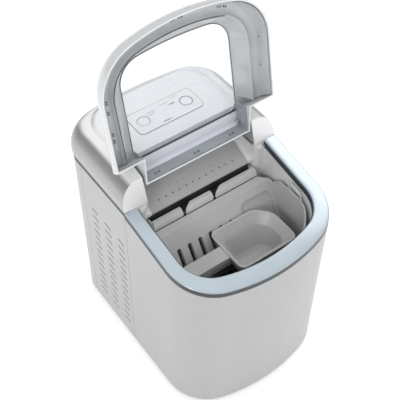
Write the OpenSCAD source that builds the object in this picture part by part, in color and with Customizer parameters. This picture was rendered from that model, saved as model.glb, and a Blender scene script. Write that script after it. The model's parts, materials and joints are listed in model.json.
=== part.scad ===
// Compact counter-top ice maker with a hinged window lid, an ice basket and a scoop.
// Millimetres, +Z up, front towards -Y, origin at the middle of the footprint on the table.

/* [Body] */
// Overall width of the body
body_w = 222; // [216:1:228]
// Distance from the hinge-side datum line to the front of the body
body_front = 138; // [135:1:141]
// Distance from the datum line to the back of the body, below the cover
body_rear = 162; // [158:1:166]
// Height of the trim line at the back of the body
rim_z = 275.4; // [272:0.2:278]
// Radius of the front corners
front_r = 61; // [55:1:65]
// How far the rear cover overhangs the back panel
cover_over = 4; // [2:1:6]
// Radius of the back corners
rear_r = 38; // [34:1:44]
// Radius of the bowed front face
bow_r = 236; // [225:1:260]
// Radius of the slightly bowed back face
rear_bow_r = 480; // [450:10:600]
// Clear height under the body
foot_h = 7; // [5:0.5:9]
// Sheet thickness of the outer panels
sheet = 1.5; // [1:0.1:2]
// Slope of the front rim, in degrees
rim_slope = 10.1; // [9:0.1:11]

/* [Lid] */
// Opening angle of the lid, in degrees
lid_open = 112; // [100:1:113]
// Height of the lid above its rim
lid_h = 30.5; // [28:0.5:32]
// Half width of the window
window_hw = 73; // [66:1:76]
// Half width of the hinge tongue
tongue_hw = 75.4; // [72:0.2:76]
// Radius of the hinge pins
pin_r = 3; // [2.5:0.1:3.2]

/* [Ice side] */
// Number of freezing fingers
finger_count = 9; // [6:1:9]
// Radius of a freezing finger
finger_r = 4.5; // [3.5:0.5:5]
// Travel of the pusher
pusher_travel = 18; // [10:1:18]
// Wall thickness of the basket
basket_wall = 2; // [1.6:0.2:2.4]
// Number of drain slots in the basket's sloping wall
slot_count = 6; // [4:1:6]

/* [Vents] */
// Number of slits in a column
slit_rows = 13; // [9:1:13]
// Number of columns of slits
slit_cols = 3; // [1:1:3]
// Length of a slit
slit_len = 14; // [10:1:16]
// Width of a slit
slit_w = 2.4; // [2:0.2:3.2]

/* [Hidden] */
$fn = 48;

// The shapes below are drawn from a datum line across the body;
// placed() moves them so that the origin is mid-way between front and back.
datum_y = (body_front - body_rear - cover_over) / 2;
module placed() { translate([0, datum_y, 0]) children(); }

gap = 0.2;
eps = 0.01;
big = 500;

// Body heights and widths
half_w = body_w / 2;
ring_y = 13.4;
ring_top = rim_z - 0.6;
ring_t = 2.6;
band_t = 5.4;
well_hw = 93;
well_front = 116.5;
well_r = 42;
tub_t = 2;
tub_floor = 62;
chamber_hw = 79.5;
chamber_y = 72;
chamber_floor = 150;
base_top = 24;
foot_x = 84;
foot_front_y = -86;
foot_rear_y = 112;
foot_r = 9;
foot_stem_r = 4;
foot_edge = 1.2;
base_t = 3;
base_wall = 2.5;
fit = 0.05;

// Rear cover
cover_h = 32.7;
cover_t = 2.2;
cover_lean = 16;
edge_w = 24;
back_edge_w = 13;
edge_z = 4.7;
arm_in = 78.5;
cover_wall_y = 53;
cover_top = rim_z + cover_h;
cover_flat = cover_top + 5;

// Lid and its hinge
tip_y = 13;
tip_z = ring_top + 0.3;
hinge_y = 37.1;
hinge_z = 301.6;
lid_t = 2.2;
lid_lean = cover_lean + rim_slope;
lid_len = 152;
lid_hw = 110.4;
tongue_len = 37.8;
tongue_v = 6;
pin_in = 68;
pin_out = 87.5;
pin_fit = 0.06;

// Ice side
tray_y = 45;
tray_z = 222;
tray_r = 26;
tray_t = 2;
tray_hw = 74;
tray_tilt = 75;
shaft_r = 3;
finger_bottom = 206;
finger_pitch = 16.5;
evap_z = 250;
evap_r = 4;
panel_y0 = 16;
panel_z0 = 245.4;
panel_slope = 26;
panel_y1 = 51;
panel_hw = 71.8;
panel_t = 2;
pusher_z0 = 229;
pusher_hw = 77.3;
sensor_y = 7;
sensor_z = 238;

// Basket: half width, corners and heights of its rim
basket_hw = 88;
basket_front = 111;
basket_rear = -2.2;
basket_floor = 163;
basket_rim = 228.3;
ledge_w = 12;
slope_y = -52;
slot_w = 5.6;
slot_x = -61;
slot_pitch = 15.6;
slot_half = 18.3;
wall_deep = 6.5;
pad_x = 36;
pad_w = 46;
pad_half = 27;
pad_deep = 3.4;
side_rim = 236;
tab_y0 = -44;
tab_y1 = -69;
tab_top = 255;

// Scoop
scoop_rim = 212;
shoulder_z = 200;
shoulder_in = 8;
shoulder_back = 9;
scoop_floor = 165.4;
scoop_t = 1.8;
scoop_back = 22.5;

// Controls
panel_cx = 1;
panel_cy = 92.5;
panel_w = 92;
panel_d = 37;
button_r = 7.5;
button_x = 31;
button_t = 3;

function arc(cx, cy, r, a0, a1, n) =
  [for (i = [0 : n]) [cx + r * cos(a0 + (a1 - a0) * i / n), cy + r * sin(a0 + (a1 - a0) * i / n)]];

// Outline with a bowed front, round front corners and a straight cut at y = rear
function plan(hw, front, rear, rf, bow) =
  let (
    bow_cy = bow - front,
    reach = bow - rf,
    cx = hw - rf,
    cy = bow_cy - sqrt(reach * reach - cx * cx),
    turn = atan2(cx, bow_cy - cy)
  )
  concat(
    [[hw, rear], [-hw, rear]],
    arc(-cx, cy, rf, 180, 270 - turn, 9),
    arc(0, bow_cy, bow, 270 - turn * 0.75, 270 + turn * 0.75, 6),
    arc(cx, cy, rf, 270 + turn, 360, 9)
  );

// Whole outline of the body, moved in by a distance
function body_plan(i) =
  let (
    front_part = plan(half_w - i, body_front - i, 0, front_r - i, bow_r - i),
    rear_part = plan(half_w - i, body_rear - i, 0, rear_r - i, rear_bow_r - i)
  )
  concat(
    [for (k = [2 : len(front_part) - 1]) front_part[k]],
    [for (k = [len(rear_part) - 1 : -1 : 2]) [rear_part[k][0], -rear_part[k][1]]]
  );

// Rounded rectangle as points
function round_rect(x0, x1, y0, y1, r, n) =
  concat(
    arc(x1 - r, y1 - r, r, 0, 90, n),
    arc(x0 + r, y1 - r, r, 90, 180, n),
    arc(x0 + r, y0 + r, r, 180, 270, n),
    arc(x1 - r, y0 + r, r, 270, 360, n)
  );

// Height of the sloping rim at a given y
function rim_at(y) = ring_top - (ring_y - y) * tan(rim_slope);

// Prism along X with its outline in the YZ plane
module prism_yz(points, x0, x1) {
  translate([x0, 0, 0]) rotate([90, 0, 90]) linear_extrude(x1 - x0) polygon(points);
}

module rod_x(x0, x1, y, z, r) {
  translate([x0, y, z]) rotate([0, 90, 0]) cylinder(h = x1 - x0, r = r);
}

module rod_y(x, y0, y1, z, r) {
  translate([x, y0, z]) rotate([-90, 0, 0]) cylinder(h = y1 - y0, r = r);
}

module box(x0, x1, y0, y1, z0, z1) {
  translate([x0, y0, z0]) cube([x1 - x0, y1 - y0, z1 - z0]);
}

// Round tube swept along a list of points
pipe_sides = 10;
function unit(v) = v / norm(v);
function heading(p, i) = unit(p[min(i + 1, len(p) - 1)] - p[max(i - 1, 0)]);
function side_of(p, i) =
  let (
    t = heading(p, i),
    before = i == 0 ? (abs(t[2]) > 0.8 ? [1, 0, 0] : [0, 0, 1]) : side_of(p, i - 1)
  )
  unit(before - (before * t) * t);
function ring_at(p, i, r) =
  let (a = side_of(p, i), b = cross(heading(p, i), a))
  [for (k = [0 : pipe_sides - 1]) p[i] + r * (cos(360 * k / pipe_sides) * a + sin(360 * k / pipe_sides) * b)];
function bend(a, b, c, r) =
  let (u = a + (b - a) * (1 - r / norm(b - a)), w = c + (b - c) * (1 - r / norm(b - c)))
  [for (k = [0 : 4]) let (t = k / 4) (1 - t) * (1 - t) * u + 2 * t * (1 - t) * b + t * t * w];
function rounded_path(p, r) =
  concat([p[0]], [for (i = [1 : len(p) - 2]) each bend(p[i - 1], p[i], p[i + 1], r)], [p[len(p) - 1]]);

module pipe(corners, r, bend_r) {
  path = rounded_path(corners, bend_r);
  last = len(path) - 1;
  polyhedron(
    points = [for (i = [0 : last]) each ring_at(path, i, r)],
    faces = concat(
      [[for (k = [pipe_sides - 1 : -1 : 0]) k]],
      [for (i = [0 : last - 1], k = [0 : pipe_sides - 1]) let (n = (k + 1) % pipe_sides)
        each [
          [i * pipe_sides + k, i * pipe_sides + n, (i + 1) * pipe_sides + n],
          [i * pipe_sides + k, (i + 1) * pipe_sides + n, (i + 1) * pipe_sides + k]
        ]],
      [[for (k = [0 : pipe_sides - 1]) last * pipe_sides + k]]
    )
  );
}

// Everything under the sloping rim, lowered by a distance, from y0 to y1
module under_rim(drop, y0, y1) {
  prism_yz([[y0, 0], [y1, 0], [y1, rim_at(y1) - drop], [y0, rim_at(y0) - drop]], -big, big);
}

// ---- Casing ----

module base_tray() {
  color("dimgray") placed() difference() {
    translate([0, 0, foot_h]) linear_extrude(base_top - foot_h) polygon(body_plan(sheet + gap));
    translate([0, 0, foot_h + base_t]) linear_extrude(base_top) polygon(body_plan(sheet + gap + base_wall));
    for (sx = [-1, 1], y = [foot_front_y, foot_rear_y])
      translate([sx * foot_x, y, 0]) cylinder(h = base_top, r = foot_stem_r + 0.02);
    for (i = [0 : 5]) box(-70, -20, 40 + i * 10, 44 + i * 10, 0, base_top);
  }
}

module foot(x, y) {
  color("#2b2b2b") placed() translate([x, y, 0]) union() {
    cylinder(h = foot_edge, r1 = foot_r - 1, r2 = foot_r);
    translate([0, 0, foot_edge]) cylinder(h = foot_h - foot_edge - fit, r = foot_r);
    cylinder(h = foot_h + 4, r = foot_stem_r);
    translate([0, 0, foot_h + base_t + fit]) cylinder(h = 2, r1 = foot_stem_r + 1.4, r2 = foot_stem_r - 1);
  }
}

module foot_front_left() { foot(-foot_x, foot_front_y); }
module foot_front_right() { foot(foot_x, foot_front_y); }
module foot_rear_left() { foot(-foot_x, foot_rear_y); }
module foot_rear_right() { foot(foot_x, foot_rear_y); }

module shell_wall(z1) {
  translate([0, 0, foot_h]) linear_extrude(z1 - foot_h) difference() {
    polygon(body_plan(0));
    polygon(body_plan(sheet));
  }
}

module front_shell() {
  color("silver") placed() intersection() {
    shell_wall(rim_z);
    under_rim(ring_t + band_t + gap / 2, -body_front - 2, ring_y - 0.4);
  }
}

slit_tilt = 9;
slit_y = 28;
slit_dy = 30;
slit_z = 207;
slit_dz = 14.2;

module slit(y, z) {
  translate([0, y, z]) rotate([slit_tilt, 0, 0])
    translate([-big / 2, -slit_len / 2, -slit_w / 2]) cube([big, slit_len, slit_w]);
}

module slit_field() {
  for (c = [0 : slit_cols - 1], r = [0 : slit_rows - 1])
    slit(slit_y + slit_dy * c, slit_z - slit_dz * r);
}

module side_panel(sx) {
  color("silver") placed() difference() {
    intersection() {
      shell_wall(rim_z - band_t - gap);
      box(sx > 0 ? 100 : -big, sx > 0 ? big : -100, ring_y - 0.1, panel_split_y - 0.2, 0, big);
    }
    slit_field();
  }
}

module side_panel_left() { side_panel(-1); }
module side_panel_right() { side_panel(1); }

panel_split_y = 112;
inlet_x = -55;
inlet_y = 156.8;
inlet_z = 52;
drain_x = 74;
drain_y = 153.5;
drain_in_y = -5;
drain_z = 40;
screw_points = [[-30, 40], [30, 40], [-82, 150], [82, 150], [-82, 256], [82, 256]];

// Where the inside of the bowed back panel is at a given x
function back_at(x) = sqrt(rear_bow_r * rear_bow_r - x * x) - rear_bow_r + body_rear - sheet;

module rear_panel() {
  color("silver") placed() difference() {
    intersection() {
      shell_wall(rim_z - band_t - gap);
      box(-big, big, panel_split_y, big, 0, big);
    }
    box(inlet_x - 14.2, inlet_x + 14.2, 100, big, inlet_z - 12.2, inlet_z + 12.2);
    rod_y(drain_x, 100, 200, drain_z, 15.2);
    for (c = [-3 : 3], r = [0 : 9])
      box(c * 20 - 7, c * 20 + 7, 100, big, 105 + r * 12, 108 + r * 12);
    for (p = screw_points) rod_y(p[0], 100, 200, p[1], 1.8);
  }
}

module panel_screws() {
  color("gray") placed() for (p = screw_points) {
    rod_y(p[0], back_at(p[0]) - 10, back_at(p[0]) + sheet + 0.7, p[1], 1.75);
    rod_y(p[0], back_at(p[0]) + sheet + 0.7, back_at(p[0]) + sheet + 2, p[1], 3);
  }
}

module power_inlet() {
  color("#222222") placed() difference() {
    box(inlet_x - 14, inlet_x + 14, inlet_y - 24, inlet_y, inlet_z - 12, inlet_z + 12);
    box(inlet_x - 12, inlet_x + 12, inlet_y - 20, big, inlet_z - 8, inlet_z + 8);
  }
  color("goldenrod") placed() for (i = [-1 : 1])
    box(inlet_x + i * 7 - 1, inlet_x + i * 7 + 1, inlet_y - 20.5, inlet_y - 7, inlet_z - 2, inlet_z + 2);
}

// ---- Rim ----

module rim_outline() {
  difference() {
    polygon(body_plan(0.5));
    translate([0, 1]) polygon(plan(well_hw + 1, well_front + 2, big, well_r + 1, bow_r - 18));
  }
}

module trim_ring() {
  color("aliceblue") placed() intersection() {
    linear_extrude(big) rim_outline();
    prism_yz([
      [-body_front - 2, rim_at(-body_front - 2) - ring_t], [ring_y, rim_at(ring_y) - ring_t],
      [ring_y, rim_at(ring_y)], [-body_front - 2, rim_at(-body_front - 2)]
    ], -big, big);
  }
}

module trim_band() {
  color("darkslategray") placed() union() {
    intersection() {
      linear_extrude(big) rim_outline();
      prism_yz([
        [-body_front - 2, rim_at(-body_front - 2) - ring_t - band_t],
        [ring_y, rim_at(ring_y) - ring_t - band_t],
        [ring_y, rim_at(ring_y) - ring_t - gap / 2],
        [-body_front - 2, rim_at(-body_front - 2) - ring_t - gap / 2]
      ], -big, big);
    }
    translate([0, 0, rim_z - band_t]) linear_extrude(band_t) difference() {
      intersection() {
        polygon(body_plan(0.5));
        translate([-big / 2, ring_y]) square(big);
      }
      polygon(body_plan(8));
    }
  }
}

// ---- Tub and ice chamber ----

cheek = [
  [panel_y0, panel_z0 - 3], [panel_y1, panel_z0 - 3 + (panel_y1 - panel_y0) * tan(panel_slope)],
  [panel_y1, panel_z0 + 1.5 + (panel_y1 - panel_y0) * tan(panel_slope)], [panel_y0, panel_z0 + 1.5]
];

module inner_tub() {
  color("gainsboro") placed() difference() {
    union() {
      difference() {
        union() {
          intersection() {
            translate([0, 0, tub_floor]) linear_extrude(big)
              polygon(plan(well_hw + tub_t, well_front + tub_t, ring_y - 0.6, well_r + tub_t, bow_r - 16));
            under_rim(ring_t + band_t + gap / 2, -body_front, ring_y);
          }
          box(-chamber_hw - tub_t, chamber_hw + tub_t, 0, chamber_y + tub_t, chamber_floor, rim_z - band_t - 1);
        }
        intersection() {
          translate([0, 0, tub_floor + tub_t]) linear_extrude(big)
            polygon(plan(well_hw, well_front, ring_y - 0.6 - tub_t, well_r, bow_r - 18));
          box(-big, big, -big, ring_y - 0.6 - tub_t, 0, big);
        }
        box(-chamber_hw, chamber_hw, -5, chamber_y, chamber_floor + tub_t, big);
      }
      for (sx = [-1, 1]) {
        prism_yz(cheek, sx > 0 ? panel_hw + 0.4 : -chamber_hw - 1, sx > 0 ? chamber_hw + 1 : -panel_hw - 0.4);
        box(sx * 90 - 4, sx * 90 + 4, -60, -30, basket_floor - 11, basket_floor - 8.3);
        box(sx * 40 - 6, sx * 40 + 6, -100, -62, tub_floor + 1, basket_floor - 0.3);
      }
    }
    for (sx = [-1, 1]) rod_x(sx * (chamber_hw + 1) - 3, sx * (chamber_hw + 1) + 3, tray_y, tray_z, shaft_r + 0.06);
    rod_x(chamber_hw - 2, chamber_hw + 4, 20, tray_z + 17, 4.1);
    for (sx = [-1, 1]) rod_x(sx * (well_hw + 1) - 3, sx * (well_hw + 1) + 3, sensor_y, sensor_z, 4.05);
    translate([drain_x, drain_in_y, 0]) cylinder(h = 100, r = 5);
    translate([30, -30, 0]) cylinder(h = 100, r = 5);
    for (sx = [-1, 1]) rod_x(sx * (chamber_hw + 1) - 3, sx * (chamber_hw + 1) + 3, tray_y, evap_z, evap_r + 0.2);
  }
}

module tub_insulation() {
  color("beige") placed() difference() {
    translate([0, 0, tub_floor + 4]) linear_extrude(165)
      polygon(plan(half_w - sheet - 0.6, body_front - sheet - 0.6, ring_y - 2, front_r - 2, bow_r - 2));
    translate([0, 0, tub_floor]) linear_extrude(250)
      polygon(plan(well_hw + tub_t + gap, well_front + tub_t + gap, 50, well_r + tub_t, bow_r - 16));
  }
}

module evaporator_cover() {
  rise = tan(panel_slope);
  run = panel_y1 - panel_y0;
  color("darkgray") placed() difference() {
    prism_yz([
      [panel_y0, panel_z0 - panel_t], [panel_y1, panel_z0 - panel_t + run * rise],
      [panel_y1, rim_z + 1], [panel_y1 - panel_t, rim_z + 1],
      [panel_y1 - panel_t, panel_z0 + (run - panel_t) * rise], [panel_y0, panel_z0]
    ], -panel_hw, panel_hw);
    for (i = [0 : 11]) translate([-55 + i * 10, 26, panel_z0 + (26 - panel_y0) * rise])
      rotate([panel_slope, 0, 0]) cylinder(h = 10, r = 1, center = true, $fn = 16);
  }
}

module evaporator_tube() {
  color("chocolate") placed() union() {
    rod_x(-chamber_hw - 8, chamber_hw + 8, tray_y, evap_z, evap_r);
    for (sx = [-1, 1]) {
      translate([sx * (chamber_hw + 8), tray_y, evap_z]) sphere(r = evap_r, $fn = 24);
      rod_y(sx * (chamber_hw + 8), tray_y, chamber_y + 14, evap_z, evap_r);
    }
  }
}

module freezing_fingers() {
  color("silver") placed() for (i = [0 : finger_count - 1]) {
    x = (i - (finger_count - 1) / 2) * finger_pitch;
    difference() {
      union() {
        translate([x, tray_y, finger_bottom + finger_r]) cylinder(h = evap_z - finger_bottom - finger_r, r = finger_r);
        translate([x, tray_y, finger_bottom + finger_r]) sphere(r = finger_r, $fn = 32);
        rod_x(x - 6, x + 6, tray_y, evap_z, evap_r + 1.5);
      }
      rod_x(x - 8, x + 8, tray_y, evap_z, evap_r + 0.02);
    }
  }
}

module water_tray() {
  color("whitesmoke") placed() difference() {
    union() {
      intersection() {
        rod_x(-tray_hw, tray_hw, tray_y, tray_z, tray_r);
        box(-big, big, -big, big, tray_z - big, tray_z);
      }
      for (sx = [-1, 1]) rod_x(sx * (tray_hw - 1) - 1, sx * (tray_hw - 1) + 1, tray_y, tray_z, shaft_r + 3);
    }
    rod_x(-tray_hw + tray_t, tray_hw - tray_t, tray_y, tray_z, tray_r - tray_t);
    rod_x(-big, big, tray_y, tray_z, shaft_r + 0.02);
  }
}

module tray_shaft() {
  color("gray") placed() union() {
    rod_x(-chamber_hw - 4, -tray_hw + tray_t, tray_y, tray_z, shaft_r);
    rod_x(tray_hw - tray_t, chamber_hw + 8, tray_y, tray_z, shaft_r);
  }
}

module tray_motor() {
  color("dimgray") placed() difference() {
    union() {
      box(chamber_hw + tub_t + gap, 94, 30, 60, 204, 236);
      rod_x(94, 106, 52, 214, 11);
    }
    rod_x(0, chamber_hw + 9, tray_y, tray_z, shaft_r + 0.06);
  }
}

module pusher_block(x0, x1, lead) {
  top = pusher_z0 + 9;
  intersection() {
    prism_yz([
      [3, pusher_z0], [15, pusher_z0], [15, pusher_z0 + 4.5], [11.5, top], [6.5, top], [3, pusher_z0 + 4.5]
    ], x0, x1);
    linear_extrude(big) polygon([[x0, 0], [x1, 0], [x1, 20], [x0 + lead, 20], [x0, 4.5]]);
  }
}

module ice_pusher() {
  color("whitesmoke") placed() union() {
    pusher_block(-pusher_hw, -35.5, 4);
    pusher_block(-31, 9.5, 23);
    pusher_block(13.5, pusher_hw, 25);
    box(-pusher_hw, pusher_hw, 6, 15, pusher_z0, pusher_z0 + 1.6);
    for (sx = [-1, 1]) box(sx * 76 - 1.3, sx * 76 + 1.3, 10, 44, pusher_z0, pusher_z0 + 6);
  }
}

module ice_sensor(sx) {
  color("whitesmoke") placed() rod_x(sx * (well_hw + 1.5) - 2, sx * (well_hw + 1.5) + 2, sensor_y, sensor_z, 4);
}

module ice_sensor_left() { ice_sensor(-1); }
module ice_sensor_right() { ice_sensor(1); }

// ---- Basket and scoop ----

function basket_plan(i) =
  let (front_part = plan(basket_hw - i, basket_front - i, -9, well_r - 4 - i, bow_r - 24 - i))
  concat([[77 - i, -i - 2 + 4.2], [-77 + i, -i - 2 + 4.2]],
    [for (k = [1 : len(front_part) - 1]) front_part[k]], [[basket_hw - i, -9 - i / 2]]);

module basket_rim_cut() {
  prism_yz([
    [5, 0], [5, basket_rim], [-16, basket_rim], [-30, 241], [tab_y0, 242], [tab_y0 - 4, tab_top],
    [tab_y1 + 4, tab_top - 3], [tab_y1 - 3, 241], [-80, 240], [-92, 230], [-100, 226],
    [-basket_front - 2, 226], [-basket_front - 2, 0]
  ], -eps, big);
  prism_yz([
    [5, 0], [5, basket_rim], [-16, basket_rim], [-26, side_rim], [-84, side_rim], [-92, 230],
    [-100, 226], [-basket_front - 2, 226], [-basket_front - 2, 0]
  ], -big, 0);
}

module ice_basket() {
  lean = atan2(-slope_y - 10, basket_rim - basket_floor - 2);
  color("silver") placed() difference() {
    intersection() {
      translate([0, 0, basket_floor]) linear_extrude(big) polygon(basket_plan(0));
      basket_rim_cut();
      prism_yz([
        [5, big], [5, basket_rim - 2.2], [-10 + wall_deep, basket_rim - 2.2],
        [slope_y + wall_deep, basket_floor],
        [-big, basket_floor], [-big, big]
      ], -big, big);
    }
    intersection() {
      translate([0, 0, basket_floor]) linear_extrude(big) polygon(basket_plan(basket_wall));
      prism_yz([
        [2.2 - ledge_w, big], [2.2 - ledge_w, basket_rim], [slope_y, basket_floor + 2],
        [-big, basket_floor + 2], [-big, big]
      ], -big, big);
    }
    for (i = [0 : slot_count - 1])
      translate([slot_x + slot_pitch * i, slope_y / 2 - 5.7, (basket_rim + basket_floor) / 2 - 2.1])
        rotate([-lean, 0, 0]) translate([-slot_w / 2, -10, -slot_half]) cube([slot_w, 20, slot_half * 2]);
    for (x = [-60 : 10 : 60]) box(x - 3.2, x + 3.2, -100, -58, basket_floor - 1, basket_floor + 3);
    translate([pad_x, slope_y / 2 - 5, (basket_rim + basket_floor) / 2 + 1]) rotate([-lean, 0, 0])
      translate([0, -10, -pad_half]) cube([pad_w, 10 + pad_deep, pad_half * 2]);
    box(basket_hw - 4, basket_hw + 4, tab_y1 + 1, tab_y0 - 3, 243.5, 250.5);
  }
}

function scoop_outline(i, back) =
  concat(
    arc(60 - i, -86 + i, 6, 270, 360, 4),
    [[66 - i, -46 - back * 0.7]],
    [[50 - i * 0.5, -27 - back]],
    arc(-12 + i, -33 - back, 6, 90, 180, 4),
    arc(-12 + i, -86 + i, 6, 180, 270, 4)
  );

module scoop_slice(z, i, back) {
  translate([0, 0, z]) linear_extrude(0.1) polygon(scoop_outline(i, back));
}

module ice_scoop() {
  color("gray") placed() difference() {
    union() {
      hull() {
        scoop_slice(scoop_rim - 0.1, 0, 0);
        scoop_slice(shoulder_z, shoulder_in, shoulder_back);
      }
      hull() {
        scoop_slice(shoulder_z, shoulder_in, shoulder_back);
        scoop_slice(scoop_floor + 5, 13, scoop_back);
        scoop_slice(scoop_floor, 17, scoop_back + 4);
      }
      box(-81, -10, -69, -49, scoop_rim - 9, scoop_rim - 1);
    }
    hull() {
      scoop_slice(scoop_rim + 0.1, scoop_t, scoop_t);
      scoop_slice(shoulder_z + scoop_t, shoulder_in + scoop_t, shoulder_back + scoop_t);
    }
    hull() {
      scoop_slice(shoulder_z + scoop_t, shoulder_in + scoop_t, shoulder_back + scoop_t);
      scoop_slice(scoop_floor + 5 + scoop_t, 13 + scoop_t, scoop_back + scoop_t);
      scoop_slice(scoop_floor + scoop_t, 17 + scoop_t, scoop_back + 4 + scoop_t);
    }
    box(-79.2, -19, -67.2, -50.8, 0, scoop_rim - 3);
  }
}

// ---- Rear cover ----

function cover_plan(side, back, y0) =
  let (p = plan(half_w - 0.5 - side, body_rear + cover_over - back, -y0, rear_r, rear_bow_r))
  [for (k = [len(p) - 1 : -1 : 0]) [p[k][0], -p[k][1]]];

module cover_dome(t) {
  hull() {
    translate([0, 0, rim_z + (t > 0 ? -eps : 0.1)]) linear_extrude(eps)
      polygon(cover_plan(t, t, ring_y + 0.1 + t));
    for (k = [0 : 7]) {
      a = k * 90 / 7;
      z = rim_z + edge_z + (cover_h - edge_z - t) * sin(a);
      turn = 1 - cos(a);
      translate([0, 0, z]) linear_extrude(eps)
        polygon(cover_plan(t + (edge_w - t) * turn, t + (back_edge_w - t) * turn,
          ring_y + 0.1 + t + (z - rim_z) * tan(cover_lean)));
    }
    translate([0, 0, cover_flat - t]) linear_extrude(eps)
      polygon(round_rect(-66, 66, 62, 144, 14, 3));
  }
}

module rear_cover() {
  color("whitesmoke") placed() difference() {
    union() {
      difference() {
        cover_dome(0);
        difference() {
          cover_dome(cover_t);
          box(-arm_in - cover_t, arm_in + cover_t, -big, cover_wall_y + cover_t, 0, big);
        }
        box(-arm_in, arm_in, -big, cover_wall_y, 0, big);
      }
      for (sx = [-1, 1]) rod_x(sx * 84 - 5, sx * 84 + 5, hinge_y, hinge_z, pin_r + 2.4);
    }
    for (sx = [-1, 1]) rod_x(sx * 84 - 6, sx * 84 + 6, hinge_y, hinge_z, pin_r + pin_fit);
    box(-39, 41, panel_cy - 12, panel_cy + 12, cover_top - 3, big);
  }
}

module control_panel() {
  color("white") placed() difference() {
    translate([panel_cx - panel_w / 2, panel_cy - panel_d / 2, cover_flat + 0.05]) linear_extrude(0.8)
      polygon(round_rect(0, panel_w, 0, panel_d, 6, 4));
    for (sx = [-1, 1]) translate([panel_cx + sx * button_x, panel_cy, 0]) cylinder(h = big, r = button_r + 0.35);
    for (i = [-1 : 1]) translate([panel_cx + i * 10, panel_cy - 6, 0]) cylinder(h = big, r = 1.55);
  }
}

module button(sx) {
  color("white") placed() translate([panel_cx + sx * button_x, panel_cy, cover_flat - 4]) union() {
    translate([0, 0, 2]) cylinder(h = button_t + 0.4, r = button_r);
    cylinder(h = 2, r = 2);
  }
}

module power_button() { button(1); }
module select_button() { button(-1); }

module indicator_lenses() {
  color("lightgreen") placed() for (i = [-1 : 1])
    translate([panel_cx + i * 10, panel_cy - 6, cover_flat - 2.4]) cylinder(h = 3.2, r = 1.5);
}

module control_board() {
  color("green") placed() union() {
    box(-38, 40, panel_cy - 11, panel_cy + 11, cover_flat - 10, cover_flat - 8.4);
    for (sx = [-1, 1])
      box(panel_cx + sx * button_x - 3, panel_cx + sx * button_x + 3, panel_cy - 3, panel_cy + 3,
        cover_flat - 8.4, cover_flat - 5.6);
  }
}

module main_board() {
  color("green") placed() union() {
    box(-60, 50, 140, 141.6, 170, 240);
    box(-50, -20, 122, 140, 180, 206);
    for (i = [0 : 3]) box(-10 + i * 15, i * 15, 128, 140, 215, 232);
  }
}

// ---- Lid, drawn level and then hung open on its hinge ----

module lid_pose() {
  translate([0, hinge_y, hinge_z]) rotate([-lid_open, 0, 0]) translate([0, -hinge_y, -hinge_z])
    translate([0, tip_y, tip_z]) rotate([rim_slope, 0, 0]) children();
}

// Where the hinge axis lies in the level lid
hinge_ly = (hinge_y - tip_y) * cos(rim_slope) + (hinge_z - tip_z) * sin(rim_slope);
hinge_lz = (hinge_z - tip_z) * cos(rim_slope) - (hinge_y - tip_y) * sin(rim_slope);

module lid_slice(z, i, t) {
  translate([0, 0, z]) linear_extrude(eps)
    polygon(plan(lid_hw - i, lid_len - i, z * tan(lid_lean) - t, front_r - 0.5 - i * 0.8, bow_r - i));
}

module lid_dome(t, h) {
  hull() {
    lid_slice(t > 0 ? -eps : 0, t, t);
    for (k = [0 : 7]) {
      a = k * 90 / 7;
      lid_slice(edge_z + (h - edge_z) * sin(a), t + (edge_w - t) * (1 - cos(a)), t);
    }
  }
}

module tongue(t) {
  top = lid_h - t;
  prism_yz([
    [-20, t > 0 ? -1 : 0], [-0.5, t > 0 ? -1 : 0], [tongue_len - t, tongue_v + (t > 0 ? -2 : 0)],
    [tongue_len - t, top - 8], [tongue_len - 3, top - 3.5], [tongue_len - 8, top - 0.6], [tongue_len - 12, top],
    [-20, top]
  ], -tongue_hw + t, tongue_hw - t);
}

module window_shape(grow) {
  polygon(concat(
    arc(window_hw - 12 + 0, 4, 12 + grow, 0, 90, 4),
    arc(-window_hw + 12, 4, 12 + grow, 90, 180, 4),
    arc(-window_hw + 28, -84, 28 + grow, 180, 258, 6),
    arc(window_hw - 28, -84, 28 + grow, 282, 360, 6)
  ));
}

module lid_frame() {
  color("gainsboro") placed() lid_pose() difference() {
    union() {
      difference() {
        union() {
          lid_dome(0, lid_h);
          tongue(0);
        }
        lid_dome(lid_t, lid_h - lid_t);
        tongue(lid_t);
      }
      for (sx = [-1, 1]) rod_x(sx * 71.5 - 3, sx * 71.5 + 3, hinge_ly, hinge_lz, pin_r + 2.4);
    }
    translate([0, 0, lid_h - 5]) linear_extrude(20) window_shape(0);
    rod_x(-big, big, hinge_ly, hinge_lz, pin_r + 0.02);
  }
}

module liner_slice(z, hw, front, r, rear) {
  translate([0, 0, z]) linear_extrude(eps) polygon(plan(hw, front, rear, r, bow_r));
}

// Space of the frame's rear wall and of the tongue's sides, kept clear
module frame_side(sx) {
  rise = tan(lid_lean);
  prism_yz([[-3, 0], [lid_h * rise - 3, lid_h], [60, lid_h], [60, 0]],
    sx > 0 ? tongue_hw - lid_t - 0.3 : -big, sx > 0 ? big : -tongue_hw + lid_t + 0.3);
}

plate_z = 18;

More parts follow.
